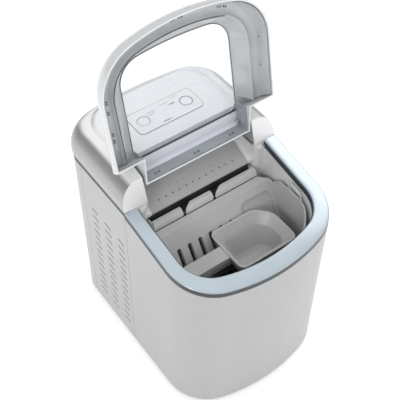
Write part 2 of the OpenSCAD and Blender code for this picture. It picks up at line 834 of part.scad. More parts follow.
module lid_liner() {
  color("lightsteelblue") placed() lid_pose() difference() {
    union() {
      hull() {
        liner_slice(2, 107, 148.8, 57.4, -3);
        liner_slice(plate_z + 2, 102.5, 144.1, 54, -3);
      }
      hull() {
        liner_slice(plate_z, 93, 131, 50, 8);
        translate([0, 0, lid_h - lid_t - 0.3]) linear_extrude(eps) window_shape(4);
      }
    }
    difference() {
      hull() {
        liner_slice(-1, 106, 147.8, 56.4, -4.6);
        liner_slice(plate_z - 0.6, 101.4, 143, 53, -4.6);
      }
      translate([0, 0, -2]) linear_extrude(plate_z + 2) polygon(plan(93, 131, 20, 50, bow_r));
    }
    translate([0, 0, -1]) linear_extrude(plate_z + 1) polygon(plan(91.4, 129.4, -4.6, 48, bow_r));
    hull() {
      liner_slice(plate_z - eps, 91.4, 129.4, 48, 6);
      translate([0, 0, lid_h - lid_t + 0.1]) linear_extrude(eps) window_shape(-1);
    }
    for (sx = [-1, 1]) frame_side(sx);
  }
}

module lid_window() {
  color("lightcyan") placed() lid_pose() translate([0, 0, lid_h - lid_t]) linear_extrude(lid_t) window_shape(-0.15);
}

module lid_pin(sx) {
  color("gray") placed() rod_x(sx > 0 ? pin_in : -pin_out, sx > 0 ? pin_out : -pin_in, hinge_y, hinge_z, pin_r);
}

module lid_pin_left() { lid_pin(-1); }
module lid_pin_right() { lid_pin(1); }

// ---- Water side ----

module water_pump() {
  color("white") placed() difference() {
    union() {
      translate([30, -30, 22]) cylinder(h = 30, r = 15);
      translate([30, -30, 52]) cylinder(h = tub_floor - 52 - gap, r = 8);
      rod_x(44, 54, -30, 42, 4);
    }
    translate([30, -30, 38]) cylinder(h = 12, r = 12.5);
    translate([30, -30, 45]) cylinder(h = 30, r = 4);
    rod_x(40, 60, -30, 42, 2.5);
  }
}

module pump_impeller() {
  color("dimgray") placed() translate([30, -30, 0]) union() {
    translate([0, 0, 38.5]) cylinder(h = 2, r = 10);
    translate([0, 0, 38.5]) cylinder(h = 8, r = 3);
    for (a = [0 : 60 : 300]) rotate([0, 0, a]) box(2, 10, -0.8, 0.8, 40, 46);
  }
}

hose_route = [[54.2, -30, 42], [96, -30, 42], [96, 20, 42], [96, 20, 239], [chamber_hw + tub_t + gap, 20, 239]];

module water_hose() {
  color("lightgray") placed() pipe(hose_route, 3.8, 5);
}

module drain_pipe() {
  color("lightgray") placed() difference() {
    union() {
      translate([drain_x, drain_in_y, drain_z]) cylinder(h = tub_floor - gap - drain_z, r = 6.5);
      rod_y(drain_x, drain_in_y - 8, drain_y - 20, drain_z, 7);
      rod_y(drain_x, drain_y - 21, drain_y, drain_z, 15);
    }
    rod_y(drain_x, drain_y - 17.5, drain_y + 5, drain_z, 12.5);
    rod_y(drain_x, drain_in_y - 4, drain_y, drain_z, 5);
    translate([drain_x, drain_in_y, drain_z]) cylinder(h = 40, r = 4.5);
  }
}

module drain_plug() {
  color("#303030") placed() union() {
    rod_y(drain_x, drain_y - 34, drain_y - 16, drain_z, 4.95);
    rod_y(drain_x, drain_y - 17, drain_y - 13, drain_z, 10);
    box(drain_x - 8, drain_x + 8, drain_y - 14, drain_y - 3, drain_z - 1.8, drain_z + 1.8);
  }
}

// ---- Refrigeration ----

comp_x = 18;
comp_y = 88;
comp_r = 44;
comp_z0 = 20;
comp_seam = 78;
comp_t = 3;
ear_x = comp_r + 5;

module compressor_shell() {
  color("#1c1c1c") placed() translate([comp_x, comp_y, 0]) union() {
    difference() {
      translate([0, 0, comp_z0]) cylinder(h = comp_seam - comp_z0, r = comp_r);
      translate([0, 0, comp_z0 + comp_t]) cylinder(h = 100, r = comp_r - comp_t);
    }
    for (a = [60, 180, 300]) rotate([0, 0, a]) difference() {
      box(comp_r - 6, ear_x + 7, -9, 9, comp_z0, comp_z0 + comp_t);
      translate([ear_x, 0, 0]) cylinder(h = 60, r = 3.2);
    }
  }
}

module compressor_cap() {
  color("#1c1c1c") placed() translate([comp_x, comp_y, comp_seam + 0.1]) rotate_extrude($fn = 64) polygon(concat(
    [[comp_r - comp_t, 0], [comp_r, 0]],
    arc(comp_r - 18, 16, 18, 0, 90, 6),
    [[0, 34], [0, 34 - comp_t]],
    arc(comp_r - 18, 16, 18 - comp_t, 90, 0, 6)
  ));
}

module compressor_motor() {
  color("sienna") placed() translate([comp_x, comp_y, comp_z0 + comp_t + 0.1]) difference() {
    cylinder(h = 50, r = 34);
    cylinder(h = 60, r = 8);
  }
}

module compressor_grommets() {
  color("#333333") placed() for (a = [60, 180, 300])
    translate([comp_x, comp_y, foot_h + base_t + fit]) rotate([0, 0, a]) translate([ear_x, 0, 0]) union() {
      cylinder(h = comp_z0 - foot_h - base_t - 2 * fit, r = 6);
      cylinder(h = comp_z0 - foot_h + comp_t - 1, r = 3);
    }
}

module condenser() {
  color("silver") placed() union() {
    for (y = [26 : 6 : 122]) box(-104, -86, y, y + 0.8, 26, 134);
    for (z = [34 : 18 : 124], x = [-99, -91]) rod_y(x, 22, 126, z, 2.6);
  }
}

fan_y = 74;
fan_z = 80;

module fan_shroud() {
  color("#303030") placed() difference() {
    union() {
      box(-84, -80, 22, 126, 26, 132);
      rod_x(-84, -62, fan_y, fan_z, 50);
    }
    rod_x(-90, -50, fan_y, fan_z, 47.5);
  }
  color("#303030") placed() union() {
    box(-64, -62, fan_y - 48.5, fan_y + 48.5, fan_z - 4, fan_z + 4);
    rod_x(-64, -61, fan_y, fan_z, 14);
  }
}

module fan_motor() {
  color("gray") placed() union() {
    rod_x(-60.8, -44, fan_y, fan_z, 15);
    rod_x(-66.4, -64.1, fan_y, fan_z, 2);
  }
}

module fan_blades() {
  color("#404040") placed() translate([-68, fan_y, fan_z]) union() {
    rod_x(-12, 1.2, 0, 0, 14);
    for (a = [0 : 60 : 300]) rotate([a, 0, 0]) translate([-5, 0, 28]) rotate([0, 0, 28])
      cube([1.6, 15, 34], center = true);
  }
}

drier_y = 100;

module filter_drier() {
  color("chocolate") placed() union() {
    translate([-40, drier_y, 150]) cylinder(h = 46, r = 8);
    translate([-40, drier_y, 142]) cylinder(h = 8, r1 = 2.5, r2 = 8);
    translate([-40, drier_y, 196]) cylinder(h = 8, r1 = 8, r2 = 2.5);
  }
}

module refrigerant_lines() {
  color("chocolate") placed() union() {
    pipe([[comp_x, comp_y, 112.6], [comp_x, comp_y, 130], [70, 98, 132], [70, 100, 150.2]], 2.5, 6);
    pipe([[-91, 126.4, 124], [-91, 133, 124], [-91, 133, 138], [-40, drier_y, 134], [-40, drier_y, 141.8]], 2.4, 5);
    pipe([[-40, drier_y, 204.2], [-40, drier_y, 214], [-62, 106, 225], [-87.5, 100, 250], [-87.5, 86.4, 250]],
      1.6, 5);
    pipe([[87.5, 86.4, 250], [87.5, 102, 250], [87.5, 102, 172.4]], 2.4, 7);
  }
}

module gas_valve() {
  color("silver") placed() union() {
    box(62, 96, 92, 112, 150.6, 168);
    translate([87.5, 102, 168]) cylinder(h = 4, r = 4);
    translate([74, 102, 168]) cylinder(h = 9, r = 7);
  }
}

base_tray();
foot_front_left();
foot_front_right();
foot_rear_left();
foot_rear_right();
front_shell();
side_panel_left();
side_panel_right();
rear_panel();
panel_screws();
trim_ring();
trim_band();
inner_tub();
tub_insulation();
evaporator_cover();
evaporator_tube();
freezing_fingers();
water_tray();
tray_shaft();
tray_motor();
ice_pusher();
ice_sensor_left();
ice_sensor_right();
ice_basket();
ice_scoop();
rear_cover();
control_panel();
power_button();
select_button();
indicator_lenses();
control_board();
main_board();
lid_frame();
lid_liner();
lid_window();
lid_pin_left();
lid_pin_right();
water_pump();
pump_impeller();
water_hose();
drain_plug();
drain_pipe();
compressor_shell();
compressor_cap();
compressor_motor();
compressor_grommets();
condenser();
fan_shroud();
fan_motor();
fan_blades();
filter_drier();
refrigerant_lines();
gas_valve();
power_inlet();
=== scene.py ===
import json
import math

import bmesh
import bpy
from mathutils import Matrix, Vector


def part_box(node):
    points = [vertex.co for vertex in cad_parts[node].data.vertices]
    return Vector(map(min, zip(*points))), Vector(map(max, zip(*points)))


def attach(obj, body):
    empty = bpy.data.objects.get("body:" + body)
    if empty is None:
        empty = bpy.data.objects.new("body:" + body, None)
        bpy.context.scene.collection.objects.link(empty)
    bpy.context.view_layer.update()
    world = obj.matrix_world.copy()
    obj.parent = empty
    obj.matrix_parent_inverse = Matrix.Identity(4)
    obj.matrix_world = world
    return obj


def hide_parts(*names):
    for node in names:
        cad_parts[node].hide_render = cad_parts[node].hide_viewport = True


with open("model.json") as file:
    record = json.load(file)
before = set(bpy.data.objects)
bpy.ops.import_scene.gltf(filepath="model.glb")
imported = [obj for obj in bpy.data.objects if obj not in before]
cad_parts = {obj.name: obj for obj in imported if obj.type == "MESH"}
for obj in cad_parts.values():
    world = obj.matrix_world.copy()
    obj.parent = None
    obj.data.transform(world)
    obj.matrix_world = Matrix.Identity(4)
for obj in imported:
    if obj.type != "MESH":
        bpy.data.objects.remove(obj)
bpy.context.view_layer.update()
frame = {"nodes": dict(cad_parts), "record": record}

# ---------------------------------------------------------------- sizes, in mm from the datum line
MM = 0.001
FRONT = 138.0
REAR = 162.0
shell_lo, shell_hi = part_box("front_shell")
DATUM = shell_lo.y / MM + FRONT
HALF_W = shell_hi.x / MM
RIM_Z = 275.4
FRONT_R, REAR_R = 61.0, 38.0
BOW, REAR_BOW = 236.0, 480.0
FOOT_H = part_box("base_tray")[0].z / MM
SHEET = 1.5
SLOPE = math.radians(10.1)
RING_Y = 13.4
RING_TOP = RIM_Z - 0.6
RING_T = 2.6
BAND_T = 5.4
PLATE_Z = RIM_Z - BAND_T - 0.2
WELL_HW, WELL_FRONT, WELL_R = 93.0, 116.5, 42.0
TUB_T, TUB_FLOOR = 2.0, 62.0
CHAMBER_HW, CHAMBER_Y, CHAMBER_FLOOR = 79.5, 72.0, 150.0
SPLIT_Y = 112.0
COVER_H, COVER_T = 32.7, 2.2
COVER_LEAN = math.radians(16.0)
EDGE_W, BACK_EDGE_W, EDGE_Z = 24.0, 13.0, 4.7
ARM_IN, COVER_WALL_Y = 78.5, 53.0
COVER_TOP = RIM_Z + COVER_H
COVER_FLAT = COVER_TOP + 5.0
COVER_OVER = 4.0
LID_H, LID_T, LID_LEN, LID_HW = 30.5, 2.2, 152.0, 110.4
LID_OPEN = math.radians(112.0)
LID_LEAN = COVER_LEAN + SLOPE
TIP_Y, TIP_Z = 13.0, RING_TOP + 0.3
HINGE_Y, HINGE_Z = 37.1, 301.6
TONGUE_HW, TONGUE_LEN, TONGUE_V = 75.4, 37.8, 6.0
WINDOW_HW = 73.0


def rim_at(y):
    """Height of the sloping rim."""
    return RING_TOP - (RING_Y - y) * math.tan(SLOPE)


# ---------------------------------------------------------------- outlines
def arc(cx, cy, r, a0, a1, n):
    """Points of an arc from angle a0 to a1, in degrees."""
    return [(cx + r * math.cos(math.radians(a0 + (a1 - a0) * i / n)),
             cy + r * math.sin(math.radians(a0 + (a1 - a0) * i / n))) for i in range(n + 1)]


def plan(hw, front, rear, rf, bow, n=22, m=24):
    """From the left end of the rear cut round the front to its right end."""
    bow_cy = bow - front
    cx = hw - rf
    cy = bow_cy - math.sqrt((bow - rf) ** 2 - cx * cx)
    turn = math.degrees(math.atan2(cx, bow_cy - cy))
    return ([(-hw, rear)] + arc(-cx, cy, rf, 180, 270 - turn, n)
            + arc(0, bow_cy, bow, 270 - turn, 270 + turn, m)[1:-1]
            + arc(cx, cy, rf, 270 + turn, 360, n) + [(hw, rear)])


def back_plan(hw, back, y0, r, bow):
    """From the right end of a cut at y0 round the back to its left end."""
    return [(-x, -y) for x, y in plan(hw, back, -y0, r, bow, 18, 20)]


def round_rect(x0, x1, y0, y1, r, n=8):
    return (arc(x1 - r, y1 - r, r, 0, 90, n) + arc(x0 + r, y1 - r, r, 90, 180, n)
            + arc(x0 + r, y0 + r, r, 180, 270, n) + arc(x1 - r, y0 + r, r, 270, 360, n))


def mix(a, b, t):
    return tuple(p + (q - p) * t for p, q in zip(a, b))


def mix_path(a, b, t):
    return [mix(p, q, t) for p, q in zip(a, b)]


# ---------------------------------------------------------------- meshes
def loft(rings, wrap=False):
    """Skins a row of closed rings; wrap joins the last one to the first."""
    n, m = len(rings[0]), len(rings)
    verts = [p for r in rings for p in r]
    faces = []
    for i in range(m if wrap else m - 1):
        a, b = i * n, ((i + 1) % m) * n
        for k in range(n):
            j = (k + 1) % n
            faces.append((a + k, a + j, b + j, b + k))
    if not wrap:
        faces.append(tuple(range(n - 1, -1, -1)))
        faces.append(tuple((m - 1) * n + k for k in range(n)))
    return verts, faces


def height(z):
    """A height that is a number or a function of y, as a function."""
    return z if callable(z) else (lambda y: z)


def prism(outline, z0, z1):
    """Upright prism; z0 and z1 are heights or functions of y."""
    low, high = height(z0), height(z1)
    return loft([[(x, y, low(y)) for x, y in outline], [(x, y, high(y)) for x, y in outline]])


def prism_x(outline, x0, x1):
    """Prism along X with its outline in y and z."""
    return loft([[(x0, y, z) for y, z in outline], [(x1, y, z) for y, z in outline]])


def box_mesh(x0, x1, y0, y1, z0, z1):
    return prism([(x0, y0), (x1, y0), (x1, y1), (x0, y1)], z0, z1)


def rod(a, b, r, n):
    """Round rod from point a to point b."""
    a, b = Vector(a), Vector(b)
    t = (b - a).normalized()
    u = t.orthogonal().normalized()
    v = t.cross(u)
    ring = [u * c + v * s for c, s in circle_profile(r, n)]
    return loft([[tuple(a + p) for p in ring], [tuple(b + p) for p in ring]])


def sweep(path, profile, up=(0, 0, 1), closed=False):
    """Sweeps a profile of (side, height) points along a path."""
    pts = [Vector(p) for p in path]
    n = len(pts)
    rings = []
    for i, p in enumerate(pts):
        before = pts[(i - 1) % n] if closed or i else pts[0]
        after = pts[(i + 1) % n] if closed or i < n - 1 else pts[-1]
        t = (after - before).normalized()
        side = t.cross(Vector(up)).normalized()
        top = side.cross(t).normalized()
        rings.append([tuple(p + side * s + top * h) for s, h in profile])
    return loft(rings, wrap=closed)


def circle_profile(r, n):
    """Points of a circle as (side, height), for a sweep."""
    return [(r * math.cos(2 * math.pi * k / n), r * math.sin(2 * math.pi * k / n)) for k in range(n)]


def circle(cx, cy, z, r, n):
    """A level ring of points."""
    return [(cx + x, cy + y, z) for x, y in circle_profile(r, n)]


def strip(outer, inner, z0, z1):
    """A bent wall between two open outlines."""
    low, high = height(z0), height(z1)
    return loft([[(ox, oy, low(oy)), (ox, oy, high(oy)), (ix, iy, high(iy)), (ix, iy, low(iy))]
                 for (ox, oy), (ix, iy) in zip(outer, inner)])


def to_mesh(geometry, name):
    """A mesh in metres, moved from the datum line to its place in the frame."""
    verts, faces = geometry
    me = bpy.data.meshes.new(name)
    me.from_pydata([(x * MM, (y + DATUM) * MM, z * MM) for x, y, z in verts], [], faces)
    bm = bmesh.new()
    bm.from_mesh(me)
    bmesh.ops.remove_doubles(bm, verts=bm.verts, dist=2e-6)
    bmesh.ops.dissolve_degenerate(bm, edges=bm.edges, dist=1e-6)
    bmesh.ops.recalc_face_normals(bm, faces=bm.faces)
    bm.to_mesh(me)
    bm.free()
    return me


def as_object(geometry, name="part"):
    ob = bpy.data.objects.new(name, to_mesh(geometry, name))
    bpy.context.scene.collection.objects.link(ob)
    return ob


def bake(ob):
    """Applies the modifiers of an object to its mesh."""
    bpy.context.view_layer.update()
    graph = bpy.context.evaluated_depsgraph_get()
    me = bpy.data.meshes.new_from_object(ob.evaluated_get(graph))
    ob.modifiers.clear()
    old = ob.data
    ob.data = me
    bpy.data.meshes.remove(old)


def combine(ob, others, operation):
    """Exact booleans with objects or plain geometry, one after another."""
    for geometry in others:
        tool = geometry if isinstance(geometry, bpy.types.Object) else as_object(geometry, "tool")
        mod = ob.modifiers.new("bool", "BOOLEAN")
        mod.operation = operation
        mod.solver = "EXACT"
        mod.object = tool
        bake(ob)
        bpy.data.objects.remove(tool)


def cut(ob, *tools):
    combine(ob, tools, "DIFFERENCE")


def join(ob, *tools):
    combine(ob, tools, "UNION")


def keep(ob, *tools):
    combine(ob, tools, "INTERSECT")


def merged(*geometries):
    """Several separate solids as one geometry."""
    verts, faces = [], []
    for v, f in geometries:
        shift = len(verts)
        verts += v
        faces += [tuple(i + shift for i in face) for face in f]
    return verts, faces


def piece(shape, name, mat, body, hides=(), bevel=0.0, segments=2, angle=38):
    """Finishes a shape: softened edges, even normals, material, body and the nodes it stands for."""
    ob = shape if isinstance(shape, bpy.types.Object) else as_object(shape, name)
    ob.name = name
    ob.data.name = name
    if bevel:
        mod = ob.modifiers.new("bevel", "BEVEL")
        mod.width = bevel * MM
        mod.segments = segments
        mod.limit_method = "ANGLE"
        mod.angle_limit = math.radians(angle)
        mod.use_clamp_overlap = True
        bake(ob)
    ob.data.materials.clear()
    ob.data.materials.append(mat)
    for p in ob.data.polygons:
        p.material_index = 0
        p.use_smooth = True
    ob.data.set_sharp_from_angle(angle=math.radians(angle))
    mod = ob.modifiers.new("normals", "WEIGHTED_NORMAL")
    mod.keep_sharp = True
    mod.weight = 80
    bake(ob)
    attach(ob, body)
    if hides:
        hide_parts(*hides)
    return ob


# ---------------------------------------------------------------- materials
# how much of the painted side shade is left where the surface faces straight sideways or back
PAINTED_SHADE_SIDEWAYS = 0.74


def material(name, color, rough, metal=0.0, vary=0.04, grain=1400.0, bump=0.04, coarse=18.0,
             coat=0.0, coat_rough=0.08, alpha=1.0, speck=0.0, brushed=None, painted_side_shade=None, spec=0.5):
    """A finish with broad tone changes, fine grain and uneven gloss, all in the object's own space; stretched
    noise gives brushed grain and, on the casing, painted sheen bands, and an optional painted shade darkens
    surfaces that face sideways or back.
    """
    m = bpy.data.materials.new(name)
    m.use_nodes = True
    nt = m.node_tree
    link = nt.links.new
    bsdf = nt.nodes["Principled BSDF"]
    for socket, value in (("Metallic", metal), ("Coat Weight", coat), ("Coat Roughness", coat_rough),
                          ("Specular IOR Level", spec), ("Alpha", alpha)):
        bsdf.inputs[socket].default_value = value

    def node(kind, **values):
        n = nt.nodes.new("ShaderNode" + kind)
        for socket, value in values.items():
            n.inputs[socket.replace("_", " ")].default_value = value
        return n

    def noise(scale, detail):
        n = node("TexNoise", Scale=scale, Detail=detail, Roughness=0.5)
        link(coord, n.inputs["Vector"])
        return n.outputs["Fac"]

    def spread(value, low, high, **ends):
        n = node("MapRange", From_Min=low, From_Max=high, **ends)
        link(value, n.inputs["Value"])
        return n.outputs["Result"]

    def tone(change):
        return (*[min(1.0, c * (1 + change)) for c in color], 1)

    def over(base, top, amount):
        """Colour top laid over base, which is a colour or a socket."""
        n = node("Mix")
        n.data_type = "RGBA"
        if isinstance(base, tuple):
            n.inputs["A"].default_value = base
        else:
            link(base, n.inputs["A"])
        n.inputs["B"].default_value = top
        link(amount, n.inputs["Factor"])
        return n.outputs["Result"]

    coord = node("TexCoord").outputs["Object"]
    # stretched noise: brushed grain on steel and windings, painted vertical sheen bands on the casing
    if brushed:
        stretch = node("Mapping", Scale=brushed)
        link(coord, stretch.inputs["Vector"])
        coord = stretch.outputs["Vector"]
    broad, fine = noise(coarse, 3.0), noise(grain, 2.0)
    shade = over(tone(-vary), tone(vary), spread(broad, 0.3, 0.7))
    if speck:
        shade = over(shade, tone(speck), spread(fine, 0.45, 0.75))
    if painted_side_shade:
        # painted shade: a darker tone in a band where the surface turns to face sideways or back, a little
        # lighter where it faces straight out
        facing = node("SeparateXYZ")
        link(node("TexCoord").outputs["Normal"], facing.inputs["Vector"])
        sideways, outward = node("Math"), node("Math")
        sideways.operation, outward.operation = "ABSOLUTE", "MAXIMUM"
        link(facing.outputs["X"], sideways.inputs[0])
        link(sideways.outputs["Value"], outward.inputs[0])
        link(facing.outputs["Y"], outward.inputs[1])
        depth = node("ValToRGB")
        depth.color_ramp.interpolation = "EASE"
        for spot, value in ((0.28, 0.0), (0.56, 1.0), (0.92, PAINTED_SHADE_SIDEWAYS)):
            depth.color_ramp.elements.new(spot).color = (value, value, value, 1)
        depth.color_ramp.elements[0].color = (0, 0, 0, 1)
        depth.color_ramp.elements[-1].color = (PAINTED_SHADE_SIDEWAYS, PAINTED_SHADE_SIDEWAYS, PAINTED_SHADE_SIDEWAYS, 1)
        link(outward.outputs["Value"], depth.inputs["Fac"])
        shade = over(shade, (*painted_side_shade, 1), depth.outputs["Color"])
    link(shade, bsdf.inputs["Base Color"])
    link(spread(broad, 0.3, 0.7, To_Min=max(0.02, rough * 0.86), To_Max=min(1.0, rough * 1.14)),
         bsdf.inputs["Roughness"])
    if bump:
        relief = node("Bump", Strength=bump, Distance=0.0004)
        link(fine, relief.inputs["Height"])
        link(relief.outputs["Normal"], bsdf.inputs["Normal"])
    return m


MATS = {
    # the casing's broad tone is stretched upright into painted sheen bands
    "satin_silver": material("satin_silver", (0.44, 0.44, 0.443), 0.34, metal=0.5, vary=0.055, speck=0.05,
                             brushed=(1, 1, 0.015), grain=2600, bump=0.03, coat=0.1, coat_rough=0.25),
    # the cover's sides and back get painted shade
    "cover_silver": material("cover_silver", (0.95, 0.95, 0.955), 0.30, metal=0.2, vary=0.01, speck=0.02,
                             grain=900, bump=0.01, coat=0.1, coat_rough=0.25, painted_side_shade=(0.27, 0.27, 0.273)),
    "rim_chrome": material("rim_chrome", (0.485, 0.56, 0.615), 0.2, metal=0.35, vary=0.03, grain=900,
                           bump=0.01, coat=0.5, coat_rough=0.1),
    "dark_band": material("dark_band", (0.028, 0.036, 0.04), 0.32, vary=0.1, bump=0.04, coat=0.1, spec=0.35),
    "liner_grey": material("liner_grey", (0.85, 0.852, 0.85), 0.42, vary=0.03, grain=1700, bump=0.08,
                           coat=0.12, coat_rough=0.3),
    "basket_grey": material("basket_grey", (0.56, 0.56, 0.555), 0.38, vary=0.04, grain=1700, bump=0.07,
                            coat=0.15, coat_rough=0.25),
    "scoop_grey": material("scoop_grey", (0.50, 0.50, 0.495), 0.36, vary=0.04, grain=1700, bump=0.06,
                           coat=0.2, coat_rough=0.25),
    "lid_silver": material("lid_silver", (0.70, 0.715, 0.72), 0.30, metal=0.1, vary=0.015, grain=2400,
                           bump=0.02, coat=0.3, coat_rough=0.15),
    "smoke_clear": material("smoke_clear", (0.70, 0.73, 0.75), 0.14, vary=0.07, grain=500, bump=0.02,
                            coat=0.6, coat_rough=0.05, alpha=0.70, coarse=30),
    "window_clear": material("window_clear", (0.80, 0.89, 0.97), 0.03, vary=0.02, grain=400, bump=0.0,
                             alpha=0.2, coarse=12),
    "panel_white": material("panel_white", (0.95, 0.955, 0.955), 0.25, vary=0.01, grain=2200, bump=0.02,
                            coat=0.4),
    "indicator": material("indicator", (0.25, 0.55, 0.35), 0.2, vary=0.1, bump=0.0, coat=0.5),
    "black_plastic": material("black_plastic", (0.018, 0.018, 0.019), 0.45, vary=0.15, grain=1500,
                              bump=0.12),
    "rubber_black": material("rubber_black", (0.022, 0.022, 0.022), 0.75, vary=0.15, grain=900, bump=0.2),
    "steel": material("steel", (0.62, 0.62, 0.63), 0.28, metal=1.0, vary=0.06, grain=700, bump=0.05,
                      brushed=(1, 12, 12)),
    "plated_copper": material("plated_copper", (0.70, 0.71, 0.73), 0.16, metal=1.0, vary=0.06, grain=500,
                              bump=0.04),
    "copper": material("copper", (0.72, 0.36, 0.22), 0.26, metal=1.0, vary=0.12, grain=400, bump=0.04),
    "alu_fins": material("alu_fins", (0.74, 0.75, 0.77), 0.36, metal=1.0, vary=0.06, grain=900, bump=0.06),
    "compressor_black": material("compressor_black", (0.015, 0.015, 0.016), 0.26, vary=0.1, grain=500,
                                 bump=0.05, coat=0.5),
    "winding": material("winding", (0.32, 0.14, 0.07), 0.35, metal=0.6, vary=0.15, grain=700, bump=0.3,
                        brushed=(1, 1, 14)),
    "white_plastic": material("white_plastic", (0.78, 0.78, 0.77), 0.4, vary=0.03, bump=0.06),
    "hose_clear": material("hose_clear", (0.68, 0.72, 0.75), 0.25, vary=0.05, bump=0.04, coat=0.3),
    "board_green": material("board_green", (0.03, 0.22, 0.08), 0.35, vary=0.1, grain=600, bump=0.08,
                            coat=0.4),
    "foam": material("foam", (0.82, 0.78, 0.62), 0.85, vary=0.06, grain=300, bump=0.5, coarse=60),
}
# painted shade: near black for deep hollows, gaps and the backs of slits
HOLLOW_SHADE = material("painted_hollow_shade", (0.03, 0.031, 0.032), 0.4, vary=0.2, bump=0.1)
# whiter than the lid: a painted highlight on the rounded rim edge
BEAD_HIGHLIGHT = material("lid_bead_highlight", (0.95, 0.955, 0.96), 0.2, vary=0.01, grain=900, bump=0.01, coat=0.6,
                coat_rough=0.08)
# a darker copy of the smoke moulding: painted shade on the tongue's inner face
TONGUE_SHADED = material("tongue_smoke_shaded", (0.40, 0.435, 0.46), 0.14, vary=0.08, grain=500, bump=0.02, coat=0.6,
                  coat_rough=0.05, alpha=0.85, coarse=30)
CATCH = material("catch_smoke", (0.20, 0.225, 0.22), 0.2, vary=0.2, grain=600, bump=0.03, coat=0.5)
PERFORATED = material("panel_grey", (0.50, 0.505, 0.51), 0.4, vary=0.03, grain=1700, bump=0.06, coat=0.15)
PUSHER = material("rake_white", (0.62, 0.62, 0.62), 0.36, vary=0.03, grain=1700, bump=0.05, coat=0.2)
# dark print and lines; on the overlay's outline and the lid's grooves it is painted shade
DARK_LINE_AND_GROOVE_SHADE = material("dark_line_and_groove_shade", (0.07, 0.07, 0.075), 0.35, vary=0.1, bump=0.0)
FAINT = material("faint_print", (0.42, 0.43, 0.45), 0.35, vary=0.05, bump=0.0)
LEDGE = material("lid_ledge", (0.80, 0.82, 0.90), 0.16, vary=0.03, grain=500, bump=0.02, coat=0.6,
                 coat_rough=0.05)

for part in frame["record"]["subparts"]:
    node = frame["nodes"][part["node"]]
    node.data.materials.clear()
    node.data.materials.append(MATS[part["material_slot"]])


def paint_hollow_shade(ob, chosen):
    """Gives the faces that chosen(x, y, z, normal) picks the near-black painted shade of a deep hollow."""
    ob.data.materials.append(HOLLOW_SHADE)
    for side in ob.data.polygons:
        x, y, z = side.center / MM
        if chosen(x, y - DATUM, z, side.normal):
            side.material_index = 1


# ---------------------------------------------------------------- casing
def body_front_path(i, rear):
    return plan(HALF_W - i, FRONT - i, rear, FRONT_R - i, BOW - i)


def body_back_path(i, y0):
    return back_plan(HALF_W - i, REAR - i, y0, REAR_R - i, REAR_BOW - i)


def wall_top(y):
    """Height where the walls end under the dark band."""
    return rim_at(y) - RING_T - BAND_T - 0.1


piece(strip(body_front_path(0, RING_Y - 0.4), body_front_path(SHEET, RING_Y - 0.4), FOOT_H, wall_top),
      "shell_front", MATS["satin_silver"], "housing", ["front_shell"], bevel=0.35)


def slot_outline(cy, cz, length, width, tilt, n=6):
    """A slot with round ends, in y and z."""
    half = length / 2 - width / 2
    flat = arc(half, 0, width / 2, -90, 90, n) + arc(-half, 0, width / 2, 90, 270, n)
    c, s = math.cos(tilt), math.sin(tilt)
    return [(cy + a * c - b * s, cz + a * s + b * c) for a, b in flat]


SLIT_TILT, SLIT_LEN, SLIT_W, SLIT_COLUMN, SLIT_ROW = math.radians(9), 14.0, 2.2, 30, 14.2
slits = [(28 + SLIT_COLUMN * c, 207 - SLIT_ROW * r) for c in range(3) for r in range(13)]
for sx, side in ((-1, "left"), (1, "right")):
    x0, x1 = sorted((sx * HALF_W, sx * (HALF_W - SHEET)))
    plate = as_object(box_mesh(x0, x1, RING_Y - 0.1, SPLIT_Y - 0.2, FOOT_H, PLATE_Z))
    cut(plate, merged(*[prism_x(slot_outline(y, z, SLIT_LEN, SLIT_W, SLIT_TILT), x0 - 3, x1 + 3)
                        for y, z in slits]))
    piece(plate, f"side_{side}", MATS["satin_silver"], "housing", [f"side_panel_{side}"],
          bevel=0.25)
    # the folded lip behind every slit, near black as painted shade inside the slit
    lips = []
    c, s = math.cos(SLIT_TILT), math.sin(SLIT_TILT)
    far, near = sx * (HALF_W - 6.5), sx * (HALF_W - SHEET)
    for y, z in slits:
        edge = [(y + a * c, z - 1.0 + a * s) for a in (-7.2, 7.2)]
        lips.append(loft([[(near, py, pz - 0.5), (near, py, pz), (far, py, pz + 5.2), (far, py, pz + 4.6)]
                          for py, pz in edge]))
    piece(merged(*lips), f"vent_lips_{side}", HOLLOW_SHADE, "housing")

INLET_X, INLET_Z = -55.0, 52.0
DRAIN_X, DRAIN_Z = 74.0, 40.0
BEFORE, BEHIND = 100, 220
back = as_object(strip(body_back_path(0, SPLIT_Y), body_back_path(SHEET, SPLIT_Y), FOOT_H, PLATE_Z))
holes = [box_mesh(INLET_X - 14.2, INLET_X + 14.2, BEFORE, BEHIND, INLET_Z - 12.2, INLET_Z + 12.2),
         rod((DRAIN_X, BEFORE, DRAIN_Z), (DRAIN_X, BEHIND, DRAIN_Z), 15.2, 48)]
for c in range(-3, 4):
    for r in range(10):
        grille = slot_outline(c * 20, 106.5 + r * 12, 14, 3, 0)
        holes.append(loft([[(a, y, b) for a, b in grille] for y in (BEFORE, BEHIND)]))
for x, z in ((-30, 40), (30, 40), (-82, 150), (82, 150), (-82, 256), (82, 256)):
    holes.append(rod((x, BEFORE, z), (x, BEHIND, z), 1.8, 16))
cut(back, merged(*holes))
piece(back, "panel_back", MATS["satin_silver"], "housing", ["rear_panel"], bevel=0.25)

# ---------------------------------------------------------------- rim
rim_out = plan(HALF_W - 0.5, FRONT - 0.5, RING_Y, FRONT_R - 0.5, BOW - 0.5)
rim_in = [(x, y + 1) for x, y in plan(WELL_HW + 1, WELL_FRONT + 2, RING_Y - 1, WELL_R + 1, BOW - 18)]


def rim_section(shape):
    """Sweeps a section, given as (from edge, distance, height), round the rim."""
    rings = []
    for o, i in zip(rim_out, rim_in):
        width = math.dist(o, i)
        ring = []
        for edge, d, h in shape:
            x, y = mix(o, i, (d if edge == "o" else width - d if edge == "i" else width * d) / width)
            ring.append((x, y, rim_at(y) + h))
        rings.append(ring)
    return loft(rings)


